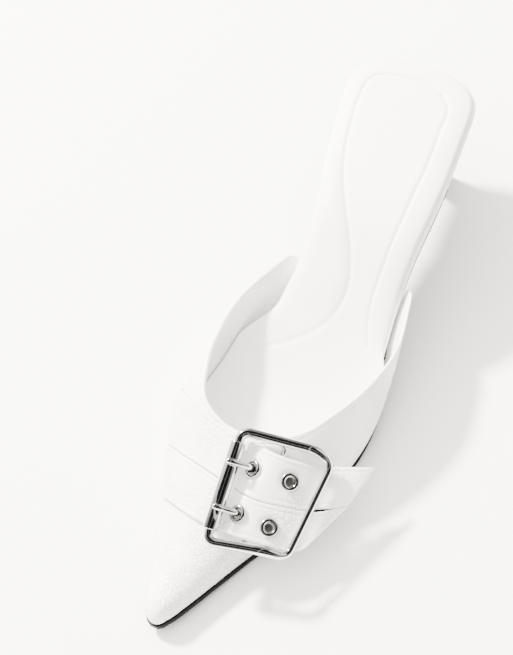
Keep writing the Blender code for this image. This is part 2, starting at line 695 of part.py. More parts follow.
def band(name, index):
    """One band of the strap, with its eyelet holes and eyelets."""
    half_slit = SLIT_SHARE / 2.0
    first, last = (0.0, 1.0 - half_slit) if index == 0 else (1.0 + half_slit, 2.0)
    along = np.linspace(0.0, 1.0, STRAP_STEPS)[:, None]
    across = np.linspace(last, first, BAND_STEPS)[None, :]
    low = strap_point(along, across)
    normal = strap_normal(along + 0.0 * across, across + 0.0 * along)
    verts, faces = slab(low, low + normal * STRAP_THICKNESS)
    strap = finish(name, verts, faces, WHITE)
    top = STRAP_THICKNESS + FIT_GAP
    barrel = EYELET_HOLE + EYELET_BARREL
    profile = ((EYELET_HOLE, 0.0), (EYELET_HOLE, top + 0.5 * EYELET_RIM), (barrel, top + EYELET_RIM),
               (EYELET_RADIUS - 0.6 * EYELET_RIM, top + EYELET_RIM), (EYELET_RADIUS, top + 0.3 * EYELET_RIM),
               (EYELET_RADIUS, top), (barrel, top), (barrel, 0.0))
    for eyelet in EYELETS:
        if eyelet.band != index:
            continue
        point, out = seat_frame(eyelet)
        verts, faces = turned(profile, EYELET_SIDES)
        finish(eyelet.name, placed(verts, point, out), faces, CHROME)
        depth = 2.0 * STRAP_THICKNESS
        path = [point - out * depth, point + out * 2.0 * depth]
        verts, faces = tube(path, barrel + FIT_GAP, EYELET_SIDES)
        shape_by(strap, "DIFFERENCE", finish(eyelet.name + "_cutter", verts, faces, CHROME))


def shape_by(piece, operation, guide):
    """Cut a guide out of a piece, or join it to the piece, and hide the guide."""
    guide.hide_render = True
    guide.display_type = "WIRE"
    step = piece.modifiers.new(guide.name, "BOOLEAN")
    step.operation = operation
    step.solver = "EXACT"
    step.object = guide


def buckle():
    """Curved frame with its centre bar, the roller on its inner bar and the two prongs."""
    corners = np.array([vamp(row.share, row.angle, row.gap) for row in FRAME])
    path = rounded(corners, CORNER_RADIUS, CORNER_STEPS)
    verts, faces = tube(path, WIRE_RADIUS, FRAME_SIDES, closed=True)
    frame = finish("buckle_frame", verts, faces, CHROME)
    rear, front = (corners[0] + corners[1]) / 2.0, (corners[4] + corners[5]) / 2.0
    seats = [vamp(row.share, row.angle, CENTRE_BAR_RADIUS + row.gap) for row in BAR_SEATS]
    bar = np.array([rear, seats[0], seats[1], front])
    verts, faces = tube(bar, CENTRE_BAR_RADIUS, BAR_SIDES)
    shape_by(frame, "UNION", finish("centre_bar_guide", verts, faces, CHROME))
    start, end = corners[0], corners[5]
    along = (end - start) / np.linalg.norm(end - start)
    start, end = start + along * ROLLER_INSET, end - along * ROLLER_INSET
    inner = WIRE_RADIUS + FIT_GAP
    length = np.linalg.norm(end - start)
    profile = ((inner, 0.0), (ROLLER_RADIUS, 0.0), (ROLLER_RADIUS, length), (inner, length))
    verts, faces = turned(profile, ROLLER_SIDES)
    finish("buckle_roller", placed(verts, Vector(start), Vector(along)), faces, CHROME)
    prongs(start, along, seats)


def nearest(point, start, along):
    """Point of a line nearest to a point."""
    return start + along * np.dot(point - start, along)


def prongs(start, along, seats):
    """Two prongs, each from the centre bar up through an eyelet and over the roller."""
    bar_along = (seats[1] - seats[0]) / np.linalg.norm(seats[1] - seats[0])
    slim = EYELET_HOLE - FIT_GAP - PRONG_SLACK
    reach = ROLLER_RADIUS + FIT_GAP + PRONG_RADIUS
    above = STRAP_THICKNESS + FIT_GAP + EYELET_RIM
    for name, eyelet in (("prong_rear", EYELETS[0]), ("prong_front", EYELETS[2])):
        point, out = (np.array(value) for value in seat_frame(eyelet))
        under = point - out * PRONG_DROP
        pivot = nearest(under, seats[0], bar_along)
        rest = nearest(point, start, along)
        side = (under - pivot) / np.linalg.norm(under - pivot)
        up = out - along * np.dot(out, along)
        up /= np.linalg.norm(up)
        over = np.cross(along, up)
        over *= np.sign(np.dot(point - rest, over))
        path = [pivot + side * (CENTRE_BAR_RADIUS + FIT_GAP + PRONG_SLACK), under - 2.0 * slim * side,
                point - out * PRONG_DROP / 2.0, point + out * STRAP_THICKNESS, point + out * above]
        path += [rest + reach * (cos(radians(turn)) * over + sin(radians(turn)) * up) for turn in PRONG_WRAP]
        radii = [slim] * 5 + [PRONG_RADIUS] * (len(PRONG_WRAP) - 1) + [PRONG_RADIUS * 0.75]
        verts, faces = tube(path, radii, BAR_SIDES)
        finish(name, verts, faces, CHROME)


def build():
    """Every piece of the shoe."""
    outsole()
    midsole()
    insole()
    upper()
    heel()
    band("strap_rear", 0)
    band("strap_front", 1)
    buckle()


for old in list(bpy.data.objects):
    bpy.data.objects.remove(old, do_unlink=True)
BLACK = material("black_sole", (0.012, 0.012, 0.013), 0.25)
RUBBER = material("black_top_piece", (0.02, 0.02, 0.02), 0.6)
WHITE = material("white_leather", (0.86, 0.85, 0.83), 0.45)
SOCK = material("white_sock", (0.87, 0.86, 0.84), 0.55)
CHROME = material("polished_chrome", (0.78, 0.79, 0.80), 0.12, 1.0)
build()
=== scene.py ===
from collections import namedtuple
from math import cos, pi, radians, sin

import bmesh
import bpy
import numpy as np
from mathutils import Matrix, Vector


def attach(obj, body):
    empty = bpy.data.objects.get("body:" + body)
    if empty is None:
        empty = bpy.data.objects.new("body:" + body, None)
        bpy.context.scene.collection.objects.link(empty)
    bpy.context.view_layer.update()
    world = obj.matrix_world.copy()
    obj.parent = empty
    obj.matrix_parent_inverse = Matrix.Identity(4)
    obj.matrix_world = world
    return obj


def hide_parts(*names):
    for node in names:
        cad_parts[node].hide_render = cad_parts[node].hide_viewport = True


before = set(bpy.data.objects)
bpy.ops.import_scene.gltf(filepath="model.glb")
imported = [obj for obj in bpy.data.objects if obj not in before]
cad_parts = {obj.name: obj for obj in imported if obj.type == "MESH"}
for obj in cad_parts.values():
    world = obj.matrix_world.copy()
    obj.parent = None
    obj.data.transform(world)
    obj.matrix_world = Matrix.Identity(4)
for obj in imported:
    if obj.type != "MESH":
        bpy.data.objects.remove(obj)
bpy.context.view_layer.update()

# Driving sizes of the last and the bottom
BOARD_LENGTH = 0.2548
SEAT_WIDTH = 0.0578
WAIST_WIDTH = 0.0476
BALL_WIDTH = 0.0681
TOE_WIDTH = 0.0042
TOE_RADIUS = 0.0024
SEAT_ROUND = 0.0257
TREAD_SHARE = 0.71
HEEL_RISE = 0.0465
TOE_SPRING = 0.0040
OUTSOLE_THICKNESS = 0.0022
BOARD_EDGE = 0.0070
BOARD_FORE = 0.0030
INSOLE_THICKNESS = 0.0030
FIT_GAP = 0.0003

# Driving sizes of the upper
UPPER_WALL = 0.0016
TOE_HEIGHT = 0.0068
VAMP_HEIGHT = 0.0315
INSTEP_HEIGHT = 0.0620
TOPLINE_LEVEL = 0.0342
WAIST_FLARE = 0.0110
BALL_FLARE = 0.0070
RIDGE_SHIFT = 0.0045
WING_END_SHARE = 0.362
WING_TIP_ANGLE = 84.5

# Driving sizes of the heel
BREAST_SHARE = 0.188
TOP_PIECE_HEIGHT = 0.0050
TOP_PIECE_LENGTH = 0.0112
TOP_PIECE_WIDTH = 0.0108
TOP_PIECE_BACK = 0.0108
HEEL_TUCK = 0.0006
HEEL_SHIFT = 0.0010

# How the edges of the sole, the board and the sock step in and out
WELT = 0.0005
WAIST_TUCK = 0.0008
BOARD_INSET = 0.0008
TOE_INSET = 0.0014
BOARD_FLARE = 0.0022
INSOLE_INSET = 0.0014
INSOLE_END_SHARE = 0.925
INSOLE_END = 0.45
INSOLE_ROUNDING = 0.55
SOCK_CUP = 0.0036
SOCK_SLACK = 0.0007
END_FLAT = 0.0002

# Driving sizes of the strap and its buckle
STRAP_THICKNESS = 0.0018
WIRE_RADIUS = 0.0020
ROLLER_RADIUS = 0.0032
CENTRE_BAR_RADIUS = 0.0012
PRONG_RADIUS = 0.0014
EYELET_RADIUS = 0.0034
EYELET_HOLE = 0.0018
EYELET_BARREL = 0.0006
EYELET_RIM = 0.0009
CORNER_RADIUS = 0.0042
ROLLER_INSET = 0.0047
PRONG_SLACK = 0.0002
PRONG_DROP = 0.0012
PRONG_WRAP = (30.0, 44.0, 58.0, 69.0, 79.0)

# Shape exponents and sampling
SEAT_POWER = 2.7
CAP_BLEND = 6.0
SECTION_POWER = 0.80
HEEL_POWER = 2.4
RIM_POWER = 8.0
CUP_POWER = 6.0
CROWN_SLANT = 1.10
FORE_SHARE = 0.90
SLOPE_STEP = 0.004
EDGE_SAMPLES = 961
HEEL_PAIRS = 33
TOE_LINES = 0.45

# One row for each place along the board: share of the length from the heel's back, the size that its
# width follows, share of that size, and the centre line's shift to the outside as a share of the ball width
Outline = namedtuple("Outline", "share size width shift")
OUTLINE = (
    Outline(0.12, SEAT_WIDTH, 1.000, -0.014),
    Outline(0.22, SEAT_WIDTH, 0.936, 0.047),
    Outline(0.33, WAIST_WIDTH, 1.000, 0.072),
    Outline(0.44, WAIST_WIDTH, 1.065, 0.041),
    Outline(0.55, BALL_WIDTH, 0.955, 0.000),
    Outline(0.65, BALL_WIDTH, 1.000, -0.042),
    Outline(0.75, BALL_WIDTH, 0.797, -0.050),
    Outline(0.85, BALL_WIDTH, 0.514, -0.065),
    Outline(0.94, BALL_WIDTH, 0.250, -0.065),
    Outline(1.00, TOE_WIDTH, 1.000, -0.065),
)

# One row for each place along the sole: the height of its underside as a share of the named size
Rise = namedtuple("Rise", "share size part")
RISE = (
    Rise(0.00, HEEL_RISE, 1.033),
    Rise(0.10, HEEL_RISE, 1.000),
    Rise(0.20, HEEL_RISE, 0.930),
    Rise(0.30, HEEL_RISE, 0.767),
    Rise(0.40, HEEL_RISE, 0.455),
    Rise(0.50, HEEL_RISE, 0.165),
    Rise(0.58, HEEL_RISE, 0.040),
    Rise(0.65, HEEL_RISE, 0.000),
    Rise(0.77, HEEL_RISE, 0.000),
    Rise(0.85, TOE_SPRING, 0.300),
    Rise(0.93, TOE_SPRING, 0.700),
    Rise(1.00, TOE_SPRING, 1.000),
)

# One row for each level of the heel, from the top piece to the seat: share of its height, how far its back
# lies ahead of the shoe's back, its length and width there, and how much it follows the seat's own outline
Level = namedtuple("Level", "height back length width seat")
HEEL = (
    Level(0.00, TOP_PIECE_BACK, TOP_PIECE_LENGTH, TOP_PIECE_WIDTH, 0.00),
    Level(0.10, 0.0104, 0.0116, 0.0112, 0.00),
    Level(0.30, 0.0092, 0.0140, 0.0124, 0.00),
    Level(0.48, 0.0076, 0.0185, 0.0150, 0.03),
    Level(0.64, 0.0058, 0.0250, 0.0200, 0.12),
    Level(0.78, 0.0040, 0.0320, 0.0270, 0.32),
    Level(0.89, 0.0022, 0.0390, 0.0370, 0.66),
    Level(1.00, 0.0000, 0.0450, 0.0500, 1.00),
)

# One row for each place along the strap, from its root at the inside to its tip: angle, share of the length
# and gap to the upper, for the rear edge, the slit and the front edge
Rail = namedtuple("Rail", "angle share gap")
Strap = namedtuple("Strap", "rear slit front")
STRAP = (
    Strap(Rail(-85.0, 0.616, 0.0006), Rail(-85.0, 0.708, 0.0005), Rail(-85.0, 0.798, 0.0005)),
    Strap(Rail(-62.0, 0.644, 0.0006), Rail(-62.0, 0.733, 0.0005), Rail(-62.0, 0.815, 0.0005)),
    Strap(Rail(-40.0, 0.674, 0.0005), Rail(-40.0, 0.753, 0.0004), Rail(-40.0, 0.828, 0.0004)),
    Strap(Rail(-18.0, 0.698, 0.0004), Rail(-18.0, 0.767, 0.0004), Rail(-18.0, 0.839, 0.0004)),
    Strap(Rail(4.0, 0.710, 0.0005), Rail(6.0, 0.779, 0.0006), Rail(9.0, 0.846, 0.0007)),
    Strap(Rail(26.0, 0.709, 0.0048), Rail(28.0, 0.781, 0.0064), Rail(34.0, 0.841, 0.0074)),
    Strap(Rail(42.0, 0.700, 0.0038), Rail(46.0, 0.766, 0.0078), Rail(52.0, 0.826, 0.0108)),
    Strap(Rail(56.5, 0.683, 0.0032), Rail(61.0, 0.743, 0.0098), Rail(66.0, 0.802, 0.0150)),
    Strap(Rail(68.0, 0.645, 0.0112), Rail(68.0, 0.703, 0.0148), Rail(69.0, 0.783, 0.0172)),
)

# The corners and bends of the buckle's frame, in order: angle, share of the length, height over the upper
FRAME = (
    Rail(1.5, 0.6990, 0.0062),
    Rail(41.5, 0.6760, 0.0064),
    Rail(52.5, 0.6790, 0.0074),
    Rail(63.0, 0.8110, 0.0196),
    Rail(52.4, 0.8284, 0.0174),
    Rail(18.0, 0.8700, 0.0076),
)

# Where the centre bar lies on the vamp under the strap's rear and front edges
BAR_SEATS = (Rail(26.2, 0.700, 0.0006), Rail(46.0, 0.840, 0.0059))

# Each eyelet: its place along the strap, 0 to 1, and its place across its band, 0 at the band's rear edge
Eyelet = namedtuple("Eyelet", "name band along across")
EYELETS = (
    Eyelet("eyelet_rear_inner", 0, 0.565, 0.48),
    Eyelet("eyelet_rear_outer", 0, 0.718, 0.45),
    Eyelet("eyelet_front_inner", 1, 0.602, 0.47),
    Eyelet("eyelet_front_outer", 1, 0.748, 0.56),
)

# One row for each place along the vamp: the ridge's height over the sole as a share of the named size
CROWN = (
    Rise(0.36, INSTEP_HEIGHT, 1.200),
    Rise(0.46, INSTEP_HEIGHT, 1.000),
    Rise(0.55, INSTEP_HEIGHT, 0.806),
    Rise(0.61, INSTEP_HEIGHT, 0.694),
    Rise(0.66, VAMP_HEIGHT, 1.222),
    Rise(0.707, VAMP_HEIGHT, 1.000),
    Rise(0.78, VAMP_HEIGHT, 0.740),
    Rise(0.86, VAMP_HEIGHT, 0.480),
    Rise(0.94, TOE_HEIGHT, 1.400),
    Rise(1.00, TOE_HEIGHT, 1.000),
)

# One row for each place along the upper: how far its sides swell past its lower edge, as a share of the
# named size, on the inside of the foot and on the outside
Swell = namedtuple("Swell", "share size inner outer")
SWELL = (
    Swell(0.36, WAIST_FLARE, 1.10, 1.10),
    Swell(0.46, WAIST_FLARE, 0.95, 0.95),
    Swell(0.55, BALL_FLARE, 1.10, 1.05),
    Swell(0.65, BALL_FLARE, 1.00, 0.85),
    Swell(0.75, BALL_FLARE, 0.60, 0.35),
    Swell(0.85, BALL_FLARE, 0.30, 0.15),
    Swell(1.00, BALL_FLARE, 0.05, 0.05),
)


def spline(xs, ys, x):
    """Natural cubic curve through the points, read at x."""
    xs, ys = np.asarray(xs, float), np.asarray(ys, float)
    step, slope = np.diff(xs), np.diff(ys) / np.diff(xs)
    count = len(xs)
    matrix, right = np.eye(count), np.zeros(count)
    for row in range(1, count - 1):
        matrix[row, row - 1] = step[row - 1]
        matrix[row, row] = 2.0 * (step[row - 1] + step[row])
        matrix[row, row + 1] = step[row]
        right[row] = 6.0 * (slope[row] - slope[row - 1])
    bend = np.linalg.solve(matrix, right)
    x = np.asarray(x, float)
    cell = np.clip(np.searchsorted(xs, x) - 1, 0, count - 2)
    before, after = x - xs[cell], xs[cell + 1] - x
    width = step[cell]
    return ((bend[cell] * after ** 3 + bend[cell + 1] * before ** 3) / (6.0 * width)
            + (ys[cell] / width - bend[cell] * width / 6.0) * after
            + (ys[cell + 1] / width - bend[cell + 1] * width / 6.0) * before)


def monotone(xs, ys, x):
    """Smooth curve through the points that never overshoots them, read at x."""
    xs, ys = np.asarray(xs, float), np.asarray(ys, float)
    step, slope = np.diff(xs), np.diff(ys) / np.diff(xs)
    tangent = np.concatenate(([slope[0]], np.zeros(len(xs) - 2), [slope[-1]]))
    for row in range(1, len(xs) - 1):
        if slope[row - 1] * slope[row] > 0.0:
            first = 2.0 * step[row] + step[row - 1]
            second = step[row] + 2.0 * step[row - 1]
            tangent[row] = (first + second) / (first / slope[row - 1] + second / slope[row])
    x = np.asarray(x, float)
    cell = np.clip(np.searchsorted(xs, x) - 1, 0, len(xs) - 2)
    t = np.clip((x - xs[cell]) / step[cell], 0.0, 1.0)
    rise, low, high = step[cell], ys[cell], ys[cell + 1]
    return ((2 * t ** 3 - 3 * t ** 2 + 1) * low + (t ** 3 - 2 * t ** 2 + t) * rise * tangent[cell]
            + (-2 * t ** 3 + 3 * t ** 2) * high + (t ** 3 - t ** 2) * rise * tangent[cell + 1])


def rise_of(rows, share):
    """Height read from a table of shares of named sizes."""
    return monotone([row.share for row in rows], [row.size * row.part for row in rows], share)


def station(share):
    """Y of a share of the board's length."""
    return (TREAD_SHARE - np.asarray(share, float)) * BOARD_LENGTH


def share_at(y):
    """Share of the board's length at Y."""
    return TREAD_SHARE - np.asarray(y, float) / BOARD_LENGTH


def board_sides(share):
    """Inner and outer X of the board's outline at a share of its length."""
    share = np.asarray(share, float)
    shares = [row.share for row in OUTLINE]
    width = spline(shares, [row.size * row.width for row in OUTLINE], np.maximum(share, 0.0))
    shift = spline(shares, [row.shift * BALL_WIDTH for row in OUTLINE], share)
    heel = np.clip(1.0 - share * BOARD_LENGTH / SEAT_ROUND, 0.0, 1.0)
    width = width * (1.0 - heel ** SEAT_POWER) ** (1.0 / SEAT_POWER)
    run = np.clip((1.0 - share) * BOARD_LENGTH, 0.0, None)
    cap = np.where(run < TOE_RADIUS, 2.0 * np.sqrt(np.clip(2.0 * TOE_RADIUS * run - run ** 2, 0.0, None)),
                   2.0 * TOE_RADIUS + 3.0 * (run - TOE_RADIUS))
    width, cap = np.maximum(width, 1e-7), np.maximum(cap, 1e-7)
    width = (width ** -CAP_BLEND + cap ** -CAP_BLEND) ** (-1.0 / CAP_BLEND)
    return shift - width / 2.0, shift + width / 2.0


class Edge:
    """The board's outline moved outward by a distance that may change along the length, and by a further
    distance on the outside of the foot."""

    def __init__(self, out, outside=0.0):
        share = (1.0 - np.cos(np.linspace(0.0, pi, EDGE_SAMPLES))) / 2.0
        out, outside = (np.broadcast_to(move(share) if callable(move) else move, share.shape)
                        for move in (out, outside))
        y = station(share)
        self.y, self.x = [], []
        for side, x, move in zip((-1.0, 1.0), board_sides(share), (out, out + outside)):
            along_x, along_y = np.gradient(x), np.gradient(y)
            length = np.hypot(along_x, along_y)
            normal_x, normal_y = -side * along_y / length, side * along_x / length
            normal_x[[0, -1]] = 0.0
            normal_y[[0, -1]] = 1.0, -1.0
            self.y.append((y + move * normal_y)[::-1])
            self.x.append((x + move * normal_x)[::-1])
        self.back, self.tip = self.y[0][-1], self.y[0][0]

    def sides(self, y):
        """Inner and outer X at Y."""
        return np.interp(y, self.y[0], self.x[0]), np.interp(y, self.y[1], self.x[1])


def sole_under(y):
    """Height of the outsole's underside at Y."""
    return rise_of(RISE, np.clip(share_at(y), 0.0, 1.0))


def sole_top(y):
    """Height of the outsole's upper face at Y."""
    return sole_under(y) + OUTSOLE_THICKNESS


def crown(share, wall=0.0):
    """Height of the vamp's ridge over its lower edge, rounded down to nothing at the toe; wall takes the
    wall's thickness off, 0 at the outer surface and 1 at the inner one."""
    run = np.clip((1.0 - share) * BOARD_LENGTH / TOE_HEIGHT, 0.0, 1.0)
    height = rise_of(CROWN, share) - wall * UPPER_WALL * CROWN_SLANT
    return height * np.sqrt(np.clip(1.0 - (1.0 - run) ** 2, 0.0, 1.0))


OUTER_EDGE = Edge(FIT_GAP + UPPER_WALL)
INNER_EDGE = Edge(FIT_GAP)


def swell_of(share, side):
    """How far the side swells past the upper's lower edge."""
    shares = [row.share for row in SWELL]
    inner = monotone(shares, [row.size * row.inner for row in SWELL], share)
    outer = monotone(shares, [row.size * row.outer for row in SWELL], share)
    return np.where(side < 0.0, inner, outer)


def vamp(share, angle, lift=0.0, wall=0.0):
    """Surface of the upper at a share of the length and an angle, which runs from the inside of the foot,
    -90, over the ridge at 0, to the outside, 90. lift moves the point off along the outer surface's normal;
    wall goes from the outer surface, 0, to the inner one, 1."""
    share, angle = np.broadcast_arrays(np.asarray(share, float), np.asarray(angle, float))
    fore = np.clip((share - FORE_SHARE) / (1.0 - FORE_SHARE), 0.0, 1.0) ** 2
    turn, side = np.radians(np.abs(angle)), np.sign(angle)
    tip = OUTER_EDGE.tip + (INNER_EDGE.tip - OUTER_EDGE.tip) * wall
    y = station(share) + (tip - station(1.0)) * fore
    inner, outer = OUTER_EDGE.sides(y)
    if wall:
        inner, outer = INNER_EDGE.sides(y)
    height = crown(share, wall)
    swell = swell_of(share, side) * np.sin(pi * (np.abs(angle) / 90.0) ** 2)
    shift = RIDGE_SHIFT * np.cos(turn) * np.clip(height / VAMP_HEIGHT, 0.0, 1.0)
    reach = (outer - inner) / 2.0 * np.sin(turn) ** SECTION_POWER + swell
    x = (inner + outer) / 2.0 + side * reach + shift
    z = sole_top(y) + FIT_GAP + height * np.cos(turn)
    point = np.stack([x, y, z], -1)
    if np.any(lift):
        point = point + vamp_normal(share, angle) * np.asarray(lift)[..., None]
    return point


def vamp_normal(share, angle):
    """Outward normal of the upper's outer surface."""
    along = vamp(share + SLOPE_STEP, angle) - vamp(share - SLOPE_STEP, angle)
    across = vamp(share, np.minimum(angle + 1.0, 90.0)) - vamp(share, np.maximum(angle - 1.0, -90.0))
    normal = np.cross(along, across)
    return normal / np.linalg.norm(normal, axis=-1, keepdims=True)


def topline_share(angle):
    """Share of the length where the upper's level top edge lies at an angle, to the tip of each wing."""
    shares = np.linspace(WING_END_SHARE, 0.75, 200)
    level = sole_top(station(shares)) + FIT_GAP
    bend = np.degrees(np.arccos(np.clip((TOPLINE_LEVEL - level) / crown(shares), 0.0, 1.0)))
    throat = np.argmax(bend <= 0.0)
    angle = np.abs(np.asarray(angle, float))
    share = np.interp(-np.minimum(angle, WING_TIP_ANGLE), -bend[:throat + 1], shares[:throat + 1])
    end = np.clip((angle - WING_TIP_ANGLE) / (90.0 - WING_TIP_ANGLE), 0.0, 1.0)
    return share + (WING_END_SHARE - share) * end


def grid_faces(rows, columns, start=0, flip=False):
    """Quads of a grid of points stored row by row."""
    faces = []
    for row in range(rows - 1):
        for column in range(columns - 1):
            corner = start + row * columns + column
            quad = (corner, corner + 1, corner + columns + 1, corner + columns)
            faces.append(quad[::-1] if flip else quad)
    return faces


def rim_faces(loop, other, closed=False):
    """Quads between two lists of point numbers of the same length."""
    last = len(loop) if closed else len(loop) - 1
    return [(loop[k], loop[(k + 1) % len(loop)], other[(k + 1) % len(loop)], other[k]) for k in range(last)]


def slab(low, high):
    """Points and faces of a closed body between two grids of points, row by row."""
    rows, columns = low.shape[:2]
    verts = np.concatenate([low.reshape(-1, 3), high.reshape(-1, 3)])
    count = rows * columns
    faces = grid_faces(rows, columns, flip=True) + grid_faces(rows, columns, start=count)
    ring = ([k for k in range(columns)] + [row * columns + columns - 1 for row in range(1, rows)]
            + [(rows - 1) * columns + k for k in range(columns - 2, -1, -1)]
            + [row * columns for row in range(rows - 2, 0, -1)])
    faces += rim_faces(ring, [k + count for k in ring], closed=True)
    return verts, faces


def forepart(share):
    """0 at the waist and seat, 1 under the forepart."""
    return monotone((0.0, 0.42, 0.56, 1.0), (0.0, 0.0, 1.0, 1.0), share)


def plan(edge, back, front, places, rows):
    """X, Y and place of a grid of points inside an outline from Y back to Y front; places runs from the
    inside, -1, to the outside, 1."""
    back, front = back - END_FLAT, front + END_FLAT
    y = (back + front) / 2.0 + (back - front) / 2.0 * np.cos(np.linspace(0.0, pi, rows))
    y, place = np.meshgrid(y, places, indexing="ij")
    inner, outer = edge.sides(y)
    return (inner + outer) / 2.0 + (outer - inner) / 2.0 * place, y, place


def board_thickness(share):
    """Thickness of the board: a deep covered edge behind the upper, thin inside it."""
    thin = monotone((0.0, 0.46, 0.60, 1.0), (0.0, 0.0, 1.0, 1.0), share)
    return BOARD_EDGE + (BOARD_FORE - BOARD_EDGE) * thin


def board_top(y):
    """Height of the board's upper face at Y."""
    return sole_top(y) + FIT_GAP + board_thickness(share_at(y))


def board_inset(share):
    """How far the board's edge lies off the last's outline."""
    toe = monotone((0.0, 0.86, 0.96, 1.0), (0.0, 0.0, 1.0, 1.0), share)
    return -BOARD_INSET * forepart(share) - TOE_INSET * toe


def board_flare(share):
    """How far the board's upper face leans out over its lower one, on the outside of the foot."""
    return BOARD_FLARE * monotone((0.0, 0.06, 0.42, 0.56, 1.0), (0.0, 1.0, 1.0, 0.0, 0.0), share)


def wall_inside(y, z, side):
    """X of the upper's inner surface at Y and Z, on the inside of the foot, -1, or on the outside, 1."""
    share = share_at(y)
    level = np.clip((z - sole_top(y) - FIT_GAP) / crown(share, 1.0), 0.0, 1.0)
    return vamp(share, side * np.degrees(np.arccos(level)), wall=1.0)[..., 0]


def heel_ring(row):
    """One level of the heel as a closed loop of points, from its back along the inside to the breast and
    back along the outside."""
    reach = (1.0 - np.cos(np.linspace(0.0, pi, HEEL_PAIRS))) / 2.0
    edge = Edge(-HEEL_TUCK)
    seat_y = edge.back + (station(BREAST_SHARE) + FIT_GAP - edge.back) * reach
    seat_inner, seat_outer = edge.sides(seat_y)
    y = station(0.0) - row.back - row.length * reach
    round_half = row.width / 2.0 * (1.0 - np.abs(2.0 * reach - 1.0) ** HEEL_POWER) ** (1.0 / HEEL_POWER)
    middle = HEEL_SHIFT * row.height
    y = y * (1.0 - row.seat) + seat_y * row.seat
    inner = (middle - round_half) * (1.0 - row.seat) + seat_inner * row.seat
    outer = (middle + round_half) * (1.0 - row.seat) + seat_outer * row.seat
    low = TOP_PIECE_HEIGHT + FIT_GAP
    z = low + (sole_top(seat_y) - low) * row.height
    pair = np.stack([np.concatenate([inner, outer[::-1]]), np.concatenate([y, y[::-1]]),
                     np.concatenate([z, z[::-1]])], -1)
    return pair


def strap_point(along, across, lift=0.0):
    """Point of the strap's underside: along from its root, 0, to its tip, 1; across from its rear edge, 0,
    over the slit at 1, to its front edge at 2."""
    along, across = np.broadcast_arrays(np.asarray(along, float), np.asarray(across, float))
    places = np.linspace(0.0, 1.0, len(STRAP))
    rails = []
    for rail in range(3):
        rows = [row[rail] for row in STRAP]
        rails.append([spline(places, [getattr(row, key) for row in rows], along)
                      for key in ("angle", "share")] + [monotone(places, [row.gap for row in rows], along)])
    angle, share, gap = (np.where(across < 1.0, rear + (slit - rear) * across,
                                  slit + (front - slit) * (across - 1.0))
                         for rear, slit, front in zip(*rails))
    return vamp(share, angle, gap + lift)


def strap_normal(along, across):
    """Upward normal of the strap."""
    along, across = np.asarray(along, float), np.asarray(across, float)
    down = strap_point(along + 0.004, across) - strap_point(along - 0.004, across)
    over = strap_point(along, across + 0.04) - strap_point(along, across - 0.04)
    normal = np.cross(over, down)
    return normal / np.linalg.norm(normal, axis=-1, keepdims=True)


def tube(points, radii, sides, closed=False):
    """Points and faces of a round bar along a path."""
    points = np.asarray(points, float)
    count = len(points)
    if closed:
        ahead, behind = np.roll(points, -1, 0), np.roll(points, 1, 0)
    else:
        ahead = np.concatenate([points[1:], points[-1:]])
        behind = np.concatenate([points[:1], points[:-1]])
    tangent = ahead - behind
    tangent /= np.linalg.norm(tangent, axis=1, keepdims=True)
    side = np.cross(tangent[0], (0.0, 0.0, 1.0))
    turn = np.linspace(0.0, 2.0 * pi, sides, endpoint=False)
    radii = np.broadcast_to(radii, (count,))
    verts = []
    for point, along, radius in zip(points, tangent, radii):
        side = side - along * np.dot(side, along)
        side /= np.linalg.norm(side)
        up = np.cross(side, along)
        verts += [point + radius * (cos(step) * side + sin(step) * up) for step in turn]
    faces = []
    for row in range(count if closed else count - 1):
        ring = [row * sides + k for k in range(sides)]
        other = [(row + 1) % count * sides + k for k in range(sides)]
        faces += rim_faces(ring, other, closed=True)
    if not closed:
        faces += [tuple(range(sides)), tuple(range((count - 1) * sides, count * sides))]
    return np.array(verts), faces


def rounded(points, radius, steps):
    """Closed path through points with each corner rounded."""
    path = []
    count = len(points)
    for k in range(count):
        corner = points[k]
        before, after = points[k - 1] - corner, points[(k + 1) % count] - corner
        reach = min(radius, 0.45 * np.linalg.norm(before), 0.45 * np.linalg.norm(after))
        start = corner + before / np.linalg.norm(before) * reach
        end = corner + after / np.linalg.norm(after) * reach
        for step in np.linspace(0.0, 1.0, steps):
            path.append((1 - step) ** 2 * start + 2 * step * (1 - step) * corner + step ** 2 * end)
    return np.array(path)


def seat_frame(eyelet):
    """Centre of an eyelet on the strap's underside, and the strap's normal there."""
    across = eyelet.band + eyelet.across
    point, normal = strap_point(eyelet.along, across), strap_normal(eyelet.along, across)
    return Vector(point), Vector(normal)


def turned(profile, sides):
    """Points and faces of a closed ring turned round Z from a closed profile of radius and height."""
    verts, count = [], len(profile)
    for step in range(sides):
        turn = 2.0 * pi * step / sides
        verts += [(radius * cos(turn), radius * sin(turn), height) for radius, height in profile]
    faces = []
    for step in range(sides):
        ring = [step * count + k for k in range(count)]
        other = [(step + 1) % sides * count + k for k in range(count)]
        faces += rim_faces(ring, other, closed=True)
    return np.array(verts), faces


def placed(verts, point, normal):
    """Points turned from Z to a normal and moved to a place."""
    turn = normal.to_track_quat("Z", "Y").to_matrix()
    return np.array([turn @ Vector(vert) + point for vert in verts])


def nearest(point, start, along):
    """Point of a line nearest to a point."""
    return start + along * np.dot(point - start, along)


# Camera fitted to the photo: where it aims on the floor, its distance, and its angles and focal length
AIM = (-0.03836, 0.06618, 0.0)
DISTANCE = 0.83526
AZIMUTH = 46.777
ELEVATION = 52.530
ROLL = -21.588
LENS = 106.23

# The key lamp's place, width, aim and power; the sky's strength and the share of it on the dark side; and
# the floor's width
KEY_PLACE = (-1.10, 0.42, 1.25)
KEY_WIDTH = 0.24
KEY_AIM = (0.0, 0.05, 0.02)
KEY_POWER = 236.0
SKY_STRENGTH = 5.6
SKY_LOW = 0.10
FLOOR_SIZE = 4.0

